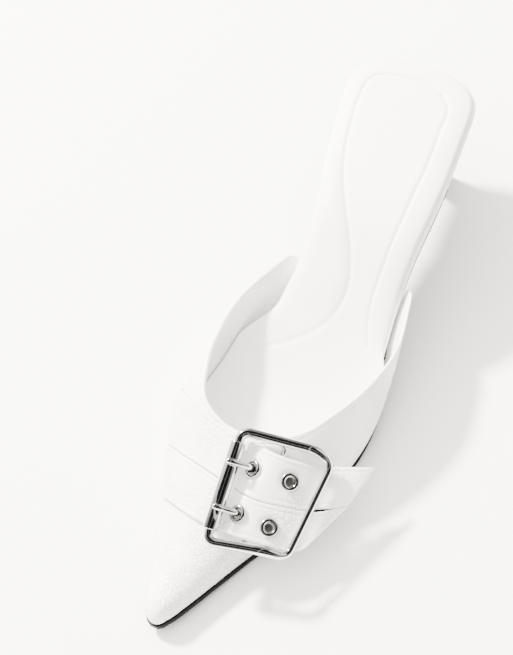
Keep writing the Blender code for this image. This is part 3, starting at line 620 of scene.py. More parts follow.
# Sizes of the finish that only shows in the render
TURNED_EDGE = 0.0020
EDGE_ROUND = 0.0007
SOLE_ROUND = 0.0002
GROOVE_DEPTH = 0.00016
GROOVE_WIDTH = 0.00035
DIMPLE_DEPTH = 0.0004
DIMPLE_WIDTH = 0.0012
CONTOUR_DEPTH = 0.00065
CONTOUR_WIDTH = 0.0008
ARCH_PAD = 0.0014
WELT_SHOWN = 0.0003
RING_SHOWN = 0.0038
RING_LIP = 0.0002
BACK_GAP = 0.0001
BACK_EDGE = 0.0003
BACK_MIDDLE = 0.0004
PRONG_SHOWN = 0.00125
SLIM_BAR = 0.30
ROLLER_LIP = 0.0004
TIP_CHAMFER = 0.0004
TIP_SHRINK = 0.95

# The slit between the bands: its width as a share of a band, how much more it opens by the buckle, where
# that is along the strap, and half the length that opens
SLIT_SHOWN = 0.016
SLIT_OPENED = 2.4
SLIT_PLACE = 0.90
SLIT_HALF = 0.038

# The dark strip under the slit, painted shade that stands for the shade inside the open slit: from and to
# along the strap and across it, and its two levels in the strap
SHADE_STRIP_ALONG = (0.85, 0.96)
SHADE_STRIP_ACROSS = (0.96, 1.04)
SHADE_STRIP_LEVELS = (0.0001, 0.0005)

# The arch pad fades out toward the embossed line and the sock's edge, as shares of half the width, and
# toward its back and front ends, as shares of the length
PAD_FADE = 0.35
PAD_EDGE = 0.25
PAD_BACK, PAD_BACK_FADE = 0.16, 0.14
PAD_FRONT, PAD_FRONT_FADE = 0.50, 0.10

# How closely the finished surfaces are sampled
SOCK_GRID = (115, 420)
PLATE_GRID = (25, 300)
BAND_GRID = (61, 200)
UPPER_LINES = 221
UPPER_RIM_STEPS = 26
UPPER_STEPS = 90
HEEL_LEVELS = 46
LINE_SAMPLES = 400
SHADE_STRIP_GRID = (5, 60)
EASED_POWER = 0.9

# Clean colour of the white leather
WHITE = (0.865, 0.857, 0.842)

# The embossed lines of the sock: share of the length, place from the inside, -1, to the outside, 1
Mark = namedtuple("Mark", "share place")
INNER_LINE = (Mark(0.056, 0.60), Mark(0.044, 0.40), Mark(0.041, 0.00), Mark(0.044, -0.40),
              Mark(0.058, -0.64), Mark(0.090, -0.71), Mark(0.127, -0.73), Mark(0.175, -0.72),
              Mark(0.219, -0.67), Mark(0.259, -0.56), Mark(0.302, -0.34), Mark(0.335, -0.13),
              Mark(0.365, 0.04), Mark(0.396, 0.15), Mark(0.425, 0.14), Mark(0.452, 0.03),
              Mark(0.475, -0.18), Mark(0.503, -0.55), Mark(0.525, -0.97))
OUTER_LINE = (Mark(0.056, 0.60), Mark(0.075, 0.73), Mark(0.101, 0.75), Mark(0.151, 0.74), Mark(0.198, 0.73),
              Mark(0.234, 0.70), Mark(0.277, 0.69), Mark(0.310, 0.68), Mark(0.340, 0.68), Mark(0.369, 0.68),
              Mark(0.391, 0.68), Mark(0.413, 0.70), Mark(0.440, 0.76), Mark(0.470, 0.86))


def shaped(name, verts, faces):
    """Mesh from points and faces, with its normals facing out."""
    mesh = bpy.data.meshes.new(name)
    mesh.from_pydata([tuple(vert) for vert in verts], [], faces)
    shaper = bmesh.new()
    shaper.from_mesh(mesh)
    bmesh.ops.remove_doubles(shaper, verts=shaper.verts, dist=1e-6)
    bmesh.ops.recalc_face_normals(shaper, faces=shaper.faces)
    shaper.to_mesh(mesh)
    shaper.free()
    return mesh


def keep(name, verts, faces, used, stands_for=(), angle=40.0):
    """Object that rides with the shoe, from points and faces."""
    mesh = shaped(name, verts, faces)
    mesh.shade_smooth()
    mesh.set_sharp_from_angle(angle=radians(angle))
    mesh.materials.append(used)
    made = bpy.data.objects.new(name, mesh)
    bpy.context.scene.collection.objects.link(made)
    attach(made, "root")
    if stands_for:
        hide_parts(*stands_for)
    return made


def eased(count, power=1.0):
    """Places from -1 to 1, closer together near both ends."""
    line = np.sin(np.linspace(-pi / 2.0, pi / 2.0, count))
    return np.sign(line) * np.abs(line) ** power


def line_points(edge, marks):
    """Close points in plan along an embossed line."""
    steps = np.linspace(0.0, 1.0, len(marks))
    fine = np.linspace(0.0, 1.0, LINE_SAMPLES)
    share = spline(steps, [mark.share for mark in marks], fine)
    place = spline(steps, [mark.place for mark in marks], fine)
    inner, outer = edge.sides(station(share))
    return np.stack([(inner + outer) / 2.0 + (outer - inner) / 2.0 * place, station(share)], -1)


def distance_to(points, line):
    """Shortest distance in plan from each point to a line."""
    flat = points.reshape(-1, 2)
    found = np.full(len(flat), 1.0)
    for start in range(0, len(flat), 2000):
        part = flat[start:start + 2000]
        found[start:start + 2000] = np.sqrt(((part[:, None] - line[None]) ** 2).sum(-1)).min(1)
    return found.reshape(points.shape[:-1])


def rounding(inside, radius=EDGE_ROUND):
    """How far a rounded edge has dropped, by the distance inside it."""
    return radius - np.sqrt(np.clip(radius ** 2 - np.clip(radius - inside, 0.0, radius) ** 2, 0.0, None))


def walked_over(grid):
    """Distance walked over each row of a grid of points, from its first column."""
    step = np.linalg.norm(np.diff(grid, axis=1), axis=-1)
    return np.concatenate([np.zeros((len(grid), 1)), np.cumsum(step, 1)], 1)


def rounded_plate(name, low, high, used, stands_for, radius=EDGE_ROUND):
    """Closed plate between two grids of points with its edges rounded over."""
    x, y = low[..., 0], low[..., 1]
    inside = np.minimum(np.minimum(x - x[:, :1], x[:, -1:] - x),
                        np.minimum(y[:1] - y, y - y[-1:]) + END_FLAT)
    drop = np.minimum(rounding(inside, radius), (high - low)[..., 2] * 0.45)
    low, high = low.copy(), high.copy()
    low[..., 2] += drop
    high[..., 2] -= drop
    verts, faces = slab(low, high)
    return keep(name, verts, faces, used, stands_for)


def sock():
    """Padded sock with its embossed lines and raised arch pad, spread to the upper's wall at the waist."""
    edge = Edge(-INSOLE_INSET, board_flare)
    places, rows = SOCK_GRID
    _, y, place = plan(edge, edge.back, station(INSOLE_END_SHARE), eased(places, EASED_POWER), rows)
    share = share_at(y)
    spread = monotone((0.0, 0.44, 0.52, 0.64, 0.76, 1.0), (0.0, 0.0, 1.0, 1.0, 0.0, 0.0), share)
    bed = board_top(y) + FIT_GAP
    brim = bed + SOCK_CUP * spread
    inner, outer = (plain + (wall_inside(y, brim, side) - side * SOCK_SLACK - plain) * spread
                    for side, plain in zip((-1.0, 1.0), edge.sides(y)))
    x = (inner + outer) / 2.0 + (outer - inner) / 2.0 * place
    low = bed + (brim - bed) * np.abs(place) ** CUP_POWER
    run = np.minimum(edge.back - y, y - station(INSOLE_END_SHARE)) / INSOLE_THICKNESS
    end = np.sqrt(np.clip(1.0 - (1.0 - np.clip(run, 0.0, 1.0)) ** 2, 0.0, 1.0))
    rim = 1.0 - INSOLE_ROUNDING * np.abs(place) ** RIM_POWER
    top = low + INSOLE_THICKNESS * rim * (INSOLE_END + (1.0 - INSOLE_END) * end)
    plain = Edge(-INSOLE_INSET)
    for marks in (INNER_LINE, OUTER_LINE):
        near = distance_to(np.stack([x, y], -1), line_points(plain, marks))
        top = top - CONTOUR_DEPTH * np.exp(-(near / CONTOUR_WIDTH) ** 2)
    left, right = plain.sides(y)
    across = (2.0 * x - left - right) / (right - left)
    pad = INNER_LINE[4:15]
    border = monotone([mark.share for mark in pad], [mark.place for mark in pad], share)
    inside = np.clip((border - across) / PAD_FADE, 0.0, 1.0)
    along = (np.clip((share - PAD_BACK) / PAD_BACK_FADE, 0.0, 1.0)
             * np.clip((PAD_FRONT - share) / PAD_FRONT_FADE, 0.0, 1.0))
    edge_side = np.clip((across + 1.0) / PAD_EDGE, 0.0, 1.0)
    top = top + ARCH_PAD * np.sin(inside * pi / 2.0) * along * edge_side ** 0.5
    made = rounded_plate("insole_sock", np.stack([x, y, low], -1), np.stack([x, y, top], -1), SOCK,
                         ("insole",))


def rand():
    """Board with its covered edge, which leans out on the outside of the foot."""
    edge, top_edge = Edge(board_inset), Edge(board_inset, board_flare)
    places, rows = PLATE_GRID
    x, y, _ = plan(edge, edge.back, edge.tip, eased(places, EASED_POWER), rows)
    top_x, top_y, _ = plan(top_edge, edge.back, edge.tip, eased(places, EASED_POWER), rows)
    rounded_plate("board_rand", np.stack([x, y, sole_top(y) + FIT_GAP], -1),
                  np.stack([top_x, top_y, board_top(top_y)], -1), BOARD, ("midsole",))


def sole():
    """Thin black outsole, tucked in under the waist and stepping out under the forepart."""
    edge = Edge(lambda share: forepart(share) * (FIT_GAP + UPPER_WALL + WELT + WELT_SHOWN + WAIST_TUCK)
                - WAIST_TUCK)
    places, rows = PLATE_GRID
    x, y, _ = plan(edge, station(BREAST_SHARE), edge.tip, eased(places, EASED_POWER), rows)
    rounded_plate("black_outsole", np.stack([x, y, sole_under(y)], -1), np.stack([x, y, sole_top(y)], -1),
                  SOLE_INK_AND_SLIT_SHADE, ("outsole",), radius=SOLE_ROUND)


def vamp_relief(plain):
    """Height of the turned edge's groove over the vamp's plain surface, from its grid of points."""
    return -GROOVE_DEPTH * np.exp(-((walked_over(plain) - TURNED_EDGE) / GROOVE_WIDTH) ** 2)


def dressed_upper():
    """Hollow vamp, finely sampled, with its rolled top edge and the groove of its turned edge."""
    lines = np.linspace(-1.0, 1.0, UPPER_LINES)
    start_angle = 90.0 * lines
    start_share = topline_share(start_angle)
    side = np.clip((np.abs(lines) - TOE_LINES) / (1.0 - TOE_LINES), 0.0, 1.0)
    end_share = 1.0 - (1.0 - WING_END_SHARE) * side ** 1.3
    run = np.concatenate([np.linspace(0.0, 0.06, UPPER_RIM_STEPS)[:-1],
                          0.06 + 0.94 * np.sin(np.linspace(0.0, pi / 2.0, UPPER_STEPS))])[None, :]
    share = start_share[:, None] + (end_share - start_share)[:, None] * run
    end_angle = 90.0 * np.clip(lines / TOE_LINES, -1.0, 1.0)[:, None]
    angle = start_angle[:, None] + (end_angle - start_angle[:, None]) * run
    outer = vamp(share, angle, lift=vamp_relief(vamp(share, angle)))
    inner = vamp(share, angle, wall=1.0)
    for surface in (outer, inner):
        surface[np.abs(lines) <= TOE_LINES, -1] = surface[len(lines) // 2, -1]
    outer, inner = outer[1:-1], inner[1:-1]
    mid, half = (outer[:, :1] + inner[:, :1]) / 2.0, (outer[:, :1] - inner[:, :1]) / 2.0
    up = outer[:, :1] - outer[:, 1:2]
    up = up / np.maximum(np.linalg.norm(up, axis=-1, keepdims=True), 1e-9)
    size = np.linalg.norm(half, axis=-1, keepdims=True)
    turns = [radians(step) for step in (30, 60, 90, 120, 150)]
    rim = np.concatenate([mid + half * cos(turn) + up * size * sin(turn) for turn in turns], 1)
    loops = np.concatenate([outer[:, ::-1], rim, inner], 1)
    rings("vamp_upper", loops, LEATHER, ("upper",), angle=60.0)


def dressed_heel():
    """Kitten heel with smooth sides, and its top piece."""
    keys = [row.height for row in HEEL]
    loops = []
    for height in np.linspace(0.0, 1.0, HEEL_LEVELS):
        row = Level(height, *(float(monotone(keys, [getattr(level, key) for level in HEEL], height))
                              for key in ("back", "length", "width", "seat")))
        loops.append(heel_ring(row))
    rings("kitten_heel", loops, HEEL_BLACK, ("heel",))
    top = loops[0].copy()
    top[:, 2] = TOP_PIECE_HEIGHT
    low = top.copy()
    low[:, 2] = TIP_CHAMFER
    middle = top.mean(0)
    tread = middle + (top - middle) * TIP_SHRINK
    tread[:, 2] = 0.0
    rings("heel_top_piece", [tread, low, top], RUBBER, ("top_piece",))


def rings(name, loops, used, stands_for, angle=40.0):
    """Closed body through loops, each with its first half facing its second half."""
    count = len(loops[0])
    faces = []
    for level in range(len(loops) - 1):
        ring = [level * count + k for k in range(count)]
        faces += rim_faces(ring, [k + count for k in ring], closed=True)
    for first in (0, (len(loops) - 1) * count):
        for k in range(count // 2 - 1):
            faces.append((first + k, first + k + 1, first + count - 2 - k, first + count - 1 - k))
    keep(name, np.concatenate(loops), faces, used, stands_for, angle=angle)


def dressed_band(name, index, node):
    """One band of the strap: rounded edges, a groove beside each edge, and its eyelets in their holes."""
    places, rows = BAND_GRID
    along = np.linspace(0.0, 1.0, rows)[:, None]
    half_slit = SLIT_SHOWN / 2.0 * (1.0 + SLIT_OPENED * np.exp(-((along - SLIT_PLACE) / SLIT_HALF) ** 4))
    first, last = (0.0 * along, 1.0 - half_slit) if index == 0 else (1.0 + half_slit, 2.0 + 0.0 * along)
    across = (last + first) / 2.0 + (last - first) / 2.0 * eased(places, EASED_POWER)[::-1][None, :]
    low = strap_point(along, across)
    normal = strap_normal(along + 0.0 * across, across + 0.0 * along)
    walked = walked_over(low)
    inside = np.minimum(walked, walked[:, -1:] - walked)
    ends = np.linalg.norm(low - low[-1:], axis=-1)
    inside = np.minimum(inside, ends)
    drop = rounding(inside)
    groove = GROOVE_DEPTH * np.exp(-((inside - TURNED_EDGE) / GROOVE_WIDTH) ** 2)
    top = STRAP_THICKNESS - drop - groove
    for eyelet in EYELETS:
        if eyelet.band == index:
            point = np.array(seat_frame(eyelet)[0])
            near = np.linalg.norm(low - point, axis=-1)
            top = top - DIMPLE_DEPTH * np.exp(-((near - EYELET_RADIUS) / DIMPLE_WIDTH) ** 2)
    verts, faces = slab(low + normal * drop[..., None], low + normal * top[..., None])
    made = keep(name, verts, faces, LEATHER, (node,), angle=50.0)
    for eyelet in EYELETS:
        if eyelet.band != index:
            continue
        point, out = seat_frame(eyelet)
        radius = EYELET_HOLE + EYELET_BARREL + FIT_GAP
        path = [point - out * STRAP_THICKNESS, point + out * 3.0 * STRAP_THICKNESS]
        verts, faces = tube(path, radius, 32)
        cutter = bpy.data.objects.new("hole", shaped("hole", verts, faces))
        bpy.context.scene.collection.objects.link(cutter)
        cut = made.modifiers.new("hole", "BOOLEAN")
        cut.operation = "DIFFERENCE"
        cut.solver = "EXACT"
        cut.object = cutter
        bpy.context.view_layer.objects.active = made
        made.select_set(True)
        bpy.ops.object.modifier_apply(modifier=cut.name)
        bpy.data.objects.remove(cutter, do_unlink=True)
        fine_eyelet(eyelet, point, out)


def slit_shade_strip():
    """Dark strip under the slit near the strap's end: painted shade inside the open slit, not a piece of
    the shoe.
    """
    places, rows = SHADE_STRIP_GRID
    along = np.linspace(*SHADE_STRIP_ALONG, rows)[:, None]
    across = np.linspace(*SHADE_STRIP_ACROSS, places)[None, :]
    low = strap_point(along, across)
    normal = strap_normal(along + 0.0 * across, across + 0.0 * along)
    verts, faces = slab(*(low + level * normal for level in SHADE_STRIP_LEVELS))
    # Painted shade: a thin black body where the open slit holds only shade
    keep("slit_shade_strip", verts, faces, SOLE_INK_AND_SLIT_SHADE, angle=50.0)


def fine_eyelet(eyelet, point, out):
    """Round-rimmed eyelet in its hole; an outer one, which no prong goes through, is closed behind by a
    disc of darker, dull chrome that is partly a closed back and partly painted shade inside the hole.
    """
    top = STRAP_THICKNESS + FIT_GAP
    barrel = EYELET_HOLE + EYELET_BARREL
    middle = (RING_SHOWN + EYELET_HOLE) / 2.0
    half = (RING_SHOWN - EYELET_HOLE) / 2.0
    profile = [(barrel, 0.0), (EYELET_HOLE, 0.0)]
    if eyelet.name.endswith("outer"):
        radius = EYELET_HOLE - BACK_GAP
        back = [(0.0, 0.0), (radius, 0.0), (radius, BACK_EDGE), (0.0, BACK_MIDDLE)]
        verts, faces = turned(back, 40)
        # Painted shade: the disc's darker chrome darkens the outer hole where shade falls
        keep(eyelet.name.replace("eyelet", "ring_back"), placed(verts, point, out), faces, DULL_CHROME_AND_HOLE_SHADE)
    profile += [(middle - half * cos(radians(turn)), top + EYELET_RIM * sin(radians(turn)))
                for turn in range(0, 181, 15)]
    profile += [(RING_SHOWN - RING_LIP, top), (barrel, top)]
    verts, faces = turned(profile, 48)
    keep(eyelet.name.replace("eyelet", "ring"), placed(verts, point, out), faces, CHROME,
         (eyelet.name,))


def smooth_path(points, count):
    """Curve through the points, evenly sampled, and how far along it each point and each sample lies."""
    points = np.asarray(points, float)
    steps = np.concatenate([[0.0], np.cumsum(np.linalg.norm(np.diff(points, axis=0), axis=1))])
    fine = np.linspace(0.0, steps[-1], count)
    return np.stack([spline(steps, points[:, k], fine) for k in range(3)], -1), steps, fine


def dressed_buckle():
    """Buckle frame with its centre bar, the roller and both prongs."""
    corners = np.array([vamp(row.share, row.angle, row.gap) for row in FRAME])
    path = rounded(corners, CORNER_RADIUS, 14)
    outer_bar = corners[3] - corners[2]
    reach = np.clip(np.dot(path - corners[2], outer_bar) / np.dot(outer_bar, outer_bar), 0.0, 1.0)
    near = np.linalg.norm(path - corners[2] - reach[:, None] * outer_bar, axis=1)
    slim_part = SLIM_BAR * np.clip(1.0 - near / CORNER_RADIUS, 0.0, 1.0)
    verts, faces = tube(path, WIRE_RADIUS * (1.0 - slim_part), 28, closed=True)
    keep("chrome_frame", verts, faces, CHROME, ("buckle_frame",), angle=80.0)
    rear, front = (corners[0] + corners[1]) / 2.0, (corners[4] + corners[5]) / 2.0
    seats = [vamp(row.share, row.angle, CENTRE_BAR_RADIUS + row.gap) for row in BAR_SEATS]
    bar = np.array([rear, seats[0], seats[1], front])
    verts, faces = tube(bar, CENTRE_BAR_RADIUS, 20)
    keep("chrome_centre_bar", verts, faces, CHROME, angle=80.0)
    start, end = corners[0], corners[5]
    along = (end - start) / np.linalg.norm(end - start)
    start, end = start + along * ROLLER_INSET, end - along * ROLLER_INSET
    inner = WIRE_RADIUS + FIT_GAP
    length = np.linalg.norm(end - start)
    lip, bevel = ROLLER_LIP, 0.3 * ROLLER_LIP
    profile = ((inner, 0.0), (ROLLER_RADIUS - lip, 0.0), (ROLLER_RADIUS - bevel, bevel),
               (ROLLER_RADIUS, lip), (ROLLER_RADIUS, length - lip),
               (ROLLER_RADIUS - bevel, length - bevel), (ROLLER_RADIUS - lip, length), (inner, length))
    verts, faces = turned(profile, 56)
    keep("chrome_roller", placed(verts, Vector(start), Vector(along)), faces, CHROME,
         ("buckle_roller",), angle=50.0)
    bar_along = (seats[1] - seats[0]) / np.linalg.norm(seats[1] - seats[0])
    slim = EYELET_HOLE - FIT_GAP - PRONG_SLACK
    reach = ROLLER_RADIUS + FIT_GAP + PRONG_RADIUS
    above = STRAP_THICKNESS + FIT_GAP + EYELET_RIM
    for name, eyelet in (("prong_rear", EYELETS[0]), ("prong_front", EYELETS[2])):
        point, out = (np.array(value) for value in seat_frame(eyelet))
        under = point - out * PRONG_DROP
        pivot = nearest(under, seats[0], bar_along)
        rest = nearest(point, start, along)
        side = (under - pivot) / np.linalg.norm(under - pivot)
        up = out - along * np.dot(out, along)
        up /= np.linalg.norm(up)
        over = np.cross(along, up)
        over *= np.sign(np.dot(point - rest, over))
        path = [pivot + side * (CENTRE_BAR_RADIUS + FIT_GAP + PRONG_SLACK), under - 2.0 * slim * side,
                point - out * PRONG_DROP / 2.0, point + out * STRAP_THICKNESS, point + out * above]
        path += [rest + reach * (cos(radians(turn)) * over + sin(radians(turn)) * up)
                 for turn in PRONG_WRAP]
        radii = [slim] * 5 + [PRONG_SHOWN] * len(PRONG_WRAP)
        curve, steps, fine = smooth_path(path, 70)
        wide = np.interp(fine, steps, radii)
        tip = np.clip((fine[-1] - fine) / PRONG_RADIUS, 0.0, 1.0)
        wide = wide * np.sqrt(np.clip(1.0 - (1.0 - tip) ** 2, 0.02, 1.0))
        verts, faces = tube(curve, wide, 20)
        keep("chrome_" + name, verts, faces, CHROME, (name,), angle=80.0)


def effect(name, inputs, outputs):
    """Empty shader node group with its named sockets, and its two end nodes."""
    made = bpy.data.node_groups.new(name, "ShaderNodeTree")
    for label, kind, value in inputs:
        socket = made.interface.new_socket(name=label, in_out="INPUT", socket_type=kind)
        if value is not None:
            socket.default_value = value
    for label, kind in outputs:
        made.interface.new_socket(name=label, in_out="OUTPUT", socket_type=kind)
    return made, made.nodes.new("NodeGroupInput"), made.nodes.new("NodeGroupOutput")


def add(tree, kind, links=(), **values):
    """Node with its values set and its inputs linked."""
    node = tree.nodes.new(kind)
    for key, value in values.items():
        setattr(node, key, value)
    for socket, source in links:
        if hasattr(source, "is_output"):
            tree.links.new(source, node.inputs[socket])
        else:
            node.inputs[socket].default_value = source
    return node


def mapped(tree, source, low, high, to_low, to_high):
    """Value moved from one range to another, with soft ends."""
    node = add(tree, "ShaderNodeMapRange", (("Value", source), ("From Min", low), ("From Max", high),
                                            ("To Min", to_low), ("To Max", to_high)),
               interpolation_type="SMOOTHSTEP")
    return node.outputs["Result"]


def product(tree, first, second, operation="MULTIPLY"):
    """One operation on two values."""
    return add(tree, "ShaderNodeMath", ((0, first), (1, second)), operation=operation).outputs[0]


def embossed_cells():
    """Group: irregular pressed cells with soft furrows, and a fine grain over them."""
    made, start, end = effect("embossed_cells", (
        ("Position", "NodeSocketVector", None), ("Cell Scale", "NodeSocketFloat", 150.0),
        ("Furrow Width", "NodeSocketFloat", 0.12), ("Grain Scale", "NodeSocketFloat", 1500.0)),
        (("Height", "NodeSocketFloat"), ("Furrow", "NodeSocketFloat")))
    position = start.outputs["Position"]
    drift = add(made, "ShaderNodeTexNoise", (("Vector", position), ("Scale", 95.0), ("Detail", 2.0)))
    bend = add(made, "ShaderNodeVectorMath", ((0, drift.outputs["Color"]), (1, (0.5, 0.5, 0.5))),
               operation="SUBTRACT")
    far = add(made, "ShaderNodeVectorMath", ((0, bend.outputs[0]), ("Scale", 0.008)), operation="SCALE")
    moved = add(made, "ShaderNodeVectorMath", ((0, position), (1, far.outputs[0])), operation="ADD")
    cells = add(made, "ShaderNodeTexVoronoi", (("Vector", moved.outputs[0]),
                                               ("Scale", start.outputs["Cell Scale"])),
                feature="DISTANCE_TO_EDGE")
    ridge = add(made, "ShaderNodeMapRange", (("Value", cells.outputs["Distance"]), ("From Min", 0.0),
                                             ("From Max", start.outputs["Furrow Width"])),
                interpolation_type="SMOOTHSTEP").outputs["Result"]
    patch = add(made, "ShaderNodeTexNoise", (("Vector", position), ("Scale", 55.0), ("Detail", 1.0)))
    shown = mapped(made, patch.outputs["Fac"], 0.40, 0.62, 0.15, 1.0)
    furrow = product(made, product(made, 1.0, ridge, "SUBTRACT"), shown)
    grain = add(made, "ShaderNodeTexNoise", (("Vector", position), ("Scale", start.outputs["Grain Scale"]),
                                             ("Detail", 3.0)))
    height = product(made, product(made, grain.outputs["Fac"], 0.16), furrow, "SUBTRACT")
    made.links.new(height, end.inputs["Height"])
    made.links.new(furrow, end.inputs["Furrow"])
    return made


def soft_wear():
    """Group: broad uneven patches and fine rubbed streaks, as two masks."""
    made, start, end = effect("soft_wear", (
        ("Position", "NodeSocketVector", None), ("Patch Scale", "NodeSocketFloat", 30.0),
        ("Streak Scale", "NodeSocketFloat", 400.0)),
        (("Patch", "NodeSocketFloat"), ("Streak", "NodeSocketFloat")))
    position = start.outputs["Position"]
    broad = add(made, "ShaderNodeTexNoise", (("Vector", position), ("Scale", start.outputs["Patch Scale"]),
                                             ("Detail", 3.0)))
    stretched = add(made, "ShaderNodeVectorMath", ((0, position), (1, (1.0, 0.12, 1.0))),
                    operation="MULTIPLY")
    fine = add(made, "ShaderNodeTexNoise", (("Vector", stretched.outputs[0]),
                                            ("Scale", start.outputs["Streak Scale"]), ("Detail", 2.0)))
    made.links.new(mapped(made, broad.outputs["Fac"], 0.3, 0.7, 0.0, 1.0), end.inputs["Patch"])
    made.links.new(mapped(made, fine.outputs["Fac"], 0.45, 0.75, 0.0, 1.0), end.inputs["Streak"])
    return made


def placed_group(tree, group, links=()):
    """A group's node in a material, fed with the surface's own position."""
    node = tree.nodes.new("ShaderNodeGroup")
    node.node_tree = group
    spot = add(tree, "ShaderNodeTexCoord")
    tree.links.new(spot.outputs["Object"], node.inputs["Position"])
    for socket, value in links:
        node.inputs[socket].default_value = value
    return node


def blended(tree, mask, first, second):
    """Colour mixed between two by a mask; each is a plain colour or another node's output."""
    node = add(tree, "ShaderNodeMix", (("Factor", mask),), data_type="RGBA")
    for socket, value in (("A", first), ("B", second)):
        if hasattr(value, "is_output"):
            tree.links.new(value, node.inputs[socket])
        else:
            node.inputs[socket].default_value = (*value, 1.0)
    return node.outputs["Result"]


def principled(name, roughness, metallic=0.0):
    """Material with its Principled shader."""
    made = bpy.data.materials.new(name)
    made.use_nodes = True
    shader = made.node_tree.nodes["Principled BSDF"]
    shader.inputs["Roughness"].default_value = roughness
    shader.inputs["Metallic"].default_value = metallic
    return made, made.node_tree, shader


def toned(tree, shader, stain, low, high, rub, smooth, rough):
    """Base colour between two by one mask, and roughness between two values by another."""
    tree.links.new(blended(tree, stain, low, high), shader.inputs["Base Color"])
    tree.links.new(mapped(tree, rub, 0.0, 1.0, smooth, rough), shader.inputs["Roughness"])


def pressed(tree, shader, height, strength, distance):
    """Bump from a height, into the shader's normal."""
    bump = add(tree, "ShaderNodeBump", (("Height", height), ("Strength", strength), ("Distance", distance)))
    tree.links.new(bump.outputs["Normal"], shader.inputs["Normal"])


def white_leather():
    """Satin white leather pressed with faint irregular cells, their furrows darkened in colour as painted
    shade.
    """
    made, tree, shader = principled("white_leather", 0.42)
    cells = placed_group(tree, CELLS, (("Cell Scale", 460.0), ("Furrow Width", 0.14)))
    wear = placed_group(tree, WEAR)
    # Painted shade: the base colour darkens in the cells' pressed furrows
    furrow = product(tree, cells.outputs["Furrow"], 0.34)
    toned(tree, shader, furrow, WHITE, (0.62, 0.605, 0.585), wear.outputs["Patch"], 0.36, 0.48)
    pressed(tree, shader, cells.outputs["Height"], 0.9, 0.00022)
    return made


def board_leather():
    """Plain white leather of the covered board edge, with a fine grain only."""
    made, tree, shader = principled("board_leather", 0.45)
    cells = placed_group(tree, CELLS, (("Cell Scale", 260.0), ("Furrow Width", 0.05)))
    wear = placed_group(tree, WEAR)
    toned(tree, shader, wear.outputs["Patch"], WHITE, (0.85, 0.842, 0.828), wear.outputs["Streak"], 0.40,
          0.50)
    pressed(tree, shader, cells.outputs["Height"], 0.15, 0.0002)
    return made


def sock_leather():
    """Smooth matt lining leather of the sock, a little warmer in uneven patches."""
    made, tree, shader = principled("white_sock", 0.55)
    cells = placed_group(tree, CELLS, (("Cell Scale", 420.0), ("Furrow Width", 0.04),
                                       ("Grain Scale", 2200.0)))
    wear = placed_group(tree, WEAR, (("Patch Scale", 22.0),))
    toned(tree, shader, wear.outputs["Patch"], (0.872, 0.866, 0.852), (0.855, 0.846, 0.83),
          wear.outputs["Patch"], 0.50, 0.60)
    pressed(tree, shader, cells.outputs["Height"], 0.12, 0.0002)
    return made


def heel_black():
    """Polished black of the heel with faint handling marks."""
    made, tree, shader = principled("black_heel", 0.3)
    shader.inputs["Specular IOR Level"].default_value = 0.05
    wear = placed_group(tree, WEAR, (("Streak Scale", 900.0),))
    toned(tree, shader, wear.outputs["Streak"], (0.003, 0.003, 0.0033), (0.006, 0.006, 0.0063),
          wear.outputs["Patch"], 0.24, 0.40)
    return made


def sole_ink_and_slit_shade():
    """Dull black ink of the thin sole's edge, also used for the painted shade inside the slit."""
    made, tree, shader = principled("black_sole_edge_and_slit_shade", 0.55)
    shader.inputs["Specular IOR Level"].default_value = 0.10
    wear = placed_group(tree, WEAR, (("Streak Scale", 700.0),))
    toned(tree, shader, wear.outputs["Streak"], (0.003, 0.003, 0.003), (0.007, 0.007, 0.007),
          wear.outputs["Patch"], 0.48, 0.62)
    return made


def black_rubber():
    """Matt black rubber of the top piece."""
    made, tree, shader = principled("black_top_piece", 0.6)
    shader.inputs["Specular IOR Level"].default_value = 0.08
    wear = placed_group(tree, WEAR, (("Patch Scale", 200.0), ("Streak Scale", 1600.0)))
    toned(tree, shader, wear.outputs["Patch"], (0.006, 0.006, 0.006), (0.012, 0.0117, 0.0115),
          wear.outputs["Streak"], 0.5, 0.72)
    pressed(tree, shader, wear.outputs["Streak"], 0.2, 0.0001)
    return made


def chrome_plate(name, smooth, rubbed, bright):
    """Chrome plate with the faintest hairline wear."""
    made, tree, shader = principled(name, smooth, 1.0)
    wear = placed_group(tree, WEAR, (("Patch Scale", 120.0), ("Streak Scale", 1500.0)))
    toned(tree, shader, wear.outputs["Patch"], (bright, bright, bright),
          (0.95 * bright, 0.95 * bright, 0.94 * bright), wear.outputs["Streak"], smooth, rubbed)
    return made


def pale_floor():
    """Pale matt floor."""
    made, tree, shader = principled("pale_floor", 0.85)
    wear = placed_group(tree, WEAR, (("Patch Scale", 3.0), ("Streak Scale", 60.0)))
    tree.links.new(blended(tree, wear.outputs["Patch"], (0.905, 0.90, 0.893), (0.90, 0.895, 0.888)),
                   shader.inputs["Base Color"])
    shader.inputs["Specular IOR Level"].default_value = 0.2
    return made


def camera():
    """Camera at the photo's angle."""
    turn, rise, roll = radians(AZIMUTH), radians(ELEVATION), radians(ROLL)
    back = Vector((sin(turn) * cos(rise), -cos(turn) * cos(rise), sin(rise)))
    right = (-back).cross(Vector((0.0, 0.0, 1.0))).normalized()
    up = right.cross(-back)
    side = right * cos(roll) + up * sin(roll)
    upright = up * cos(roll) - right * sin(roll)
    data = bpy.data.cameras.new("camera")
    data.lens = LENS
    eye = bpy.data.objects.new("camera", data)
    bpy.context.scene.collection.objects.link(eye)
    eye.matrix_world = Matrix.Translation(Vector(AIM) + back * DISTANCE) @ Matrix(
        (side, upright, back)).transposed().to_4x4()
    bpy.context.scene.camera = eye


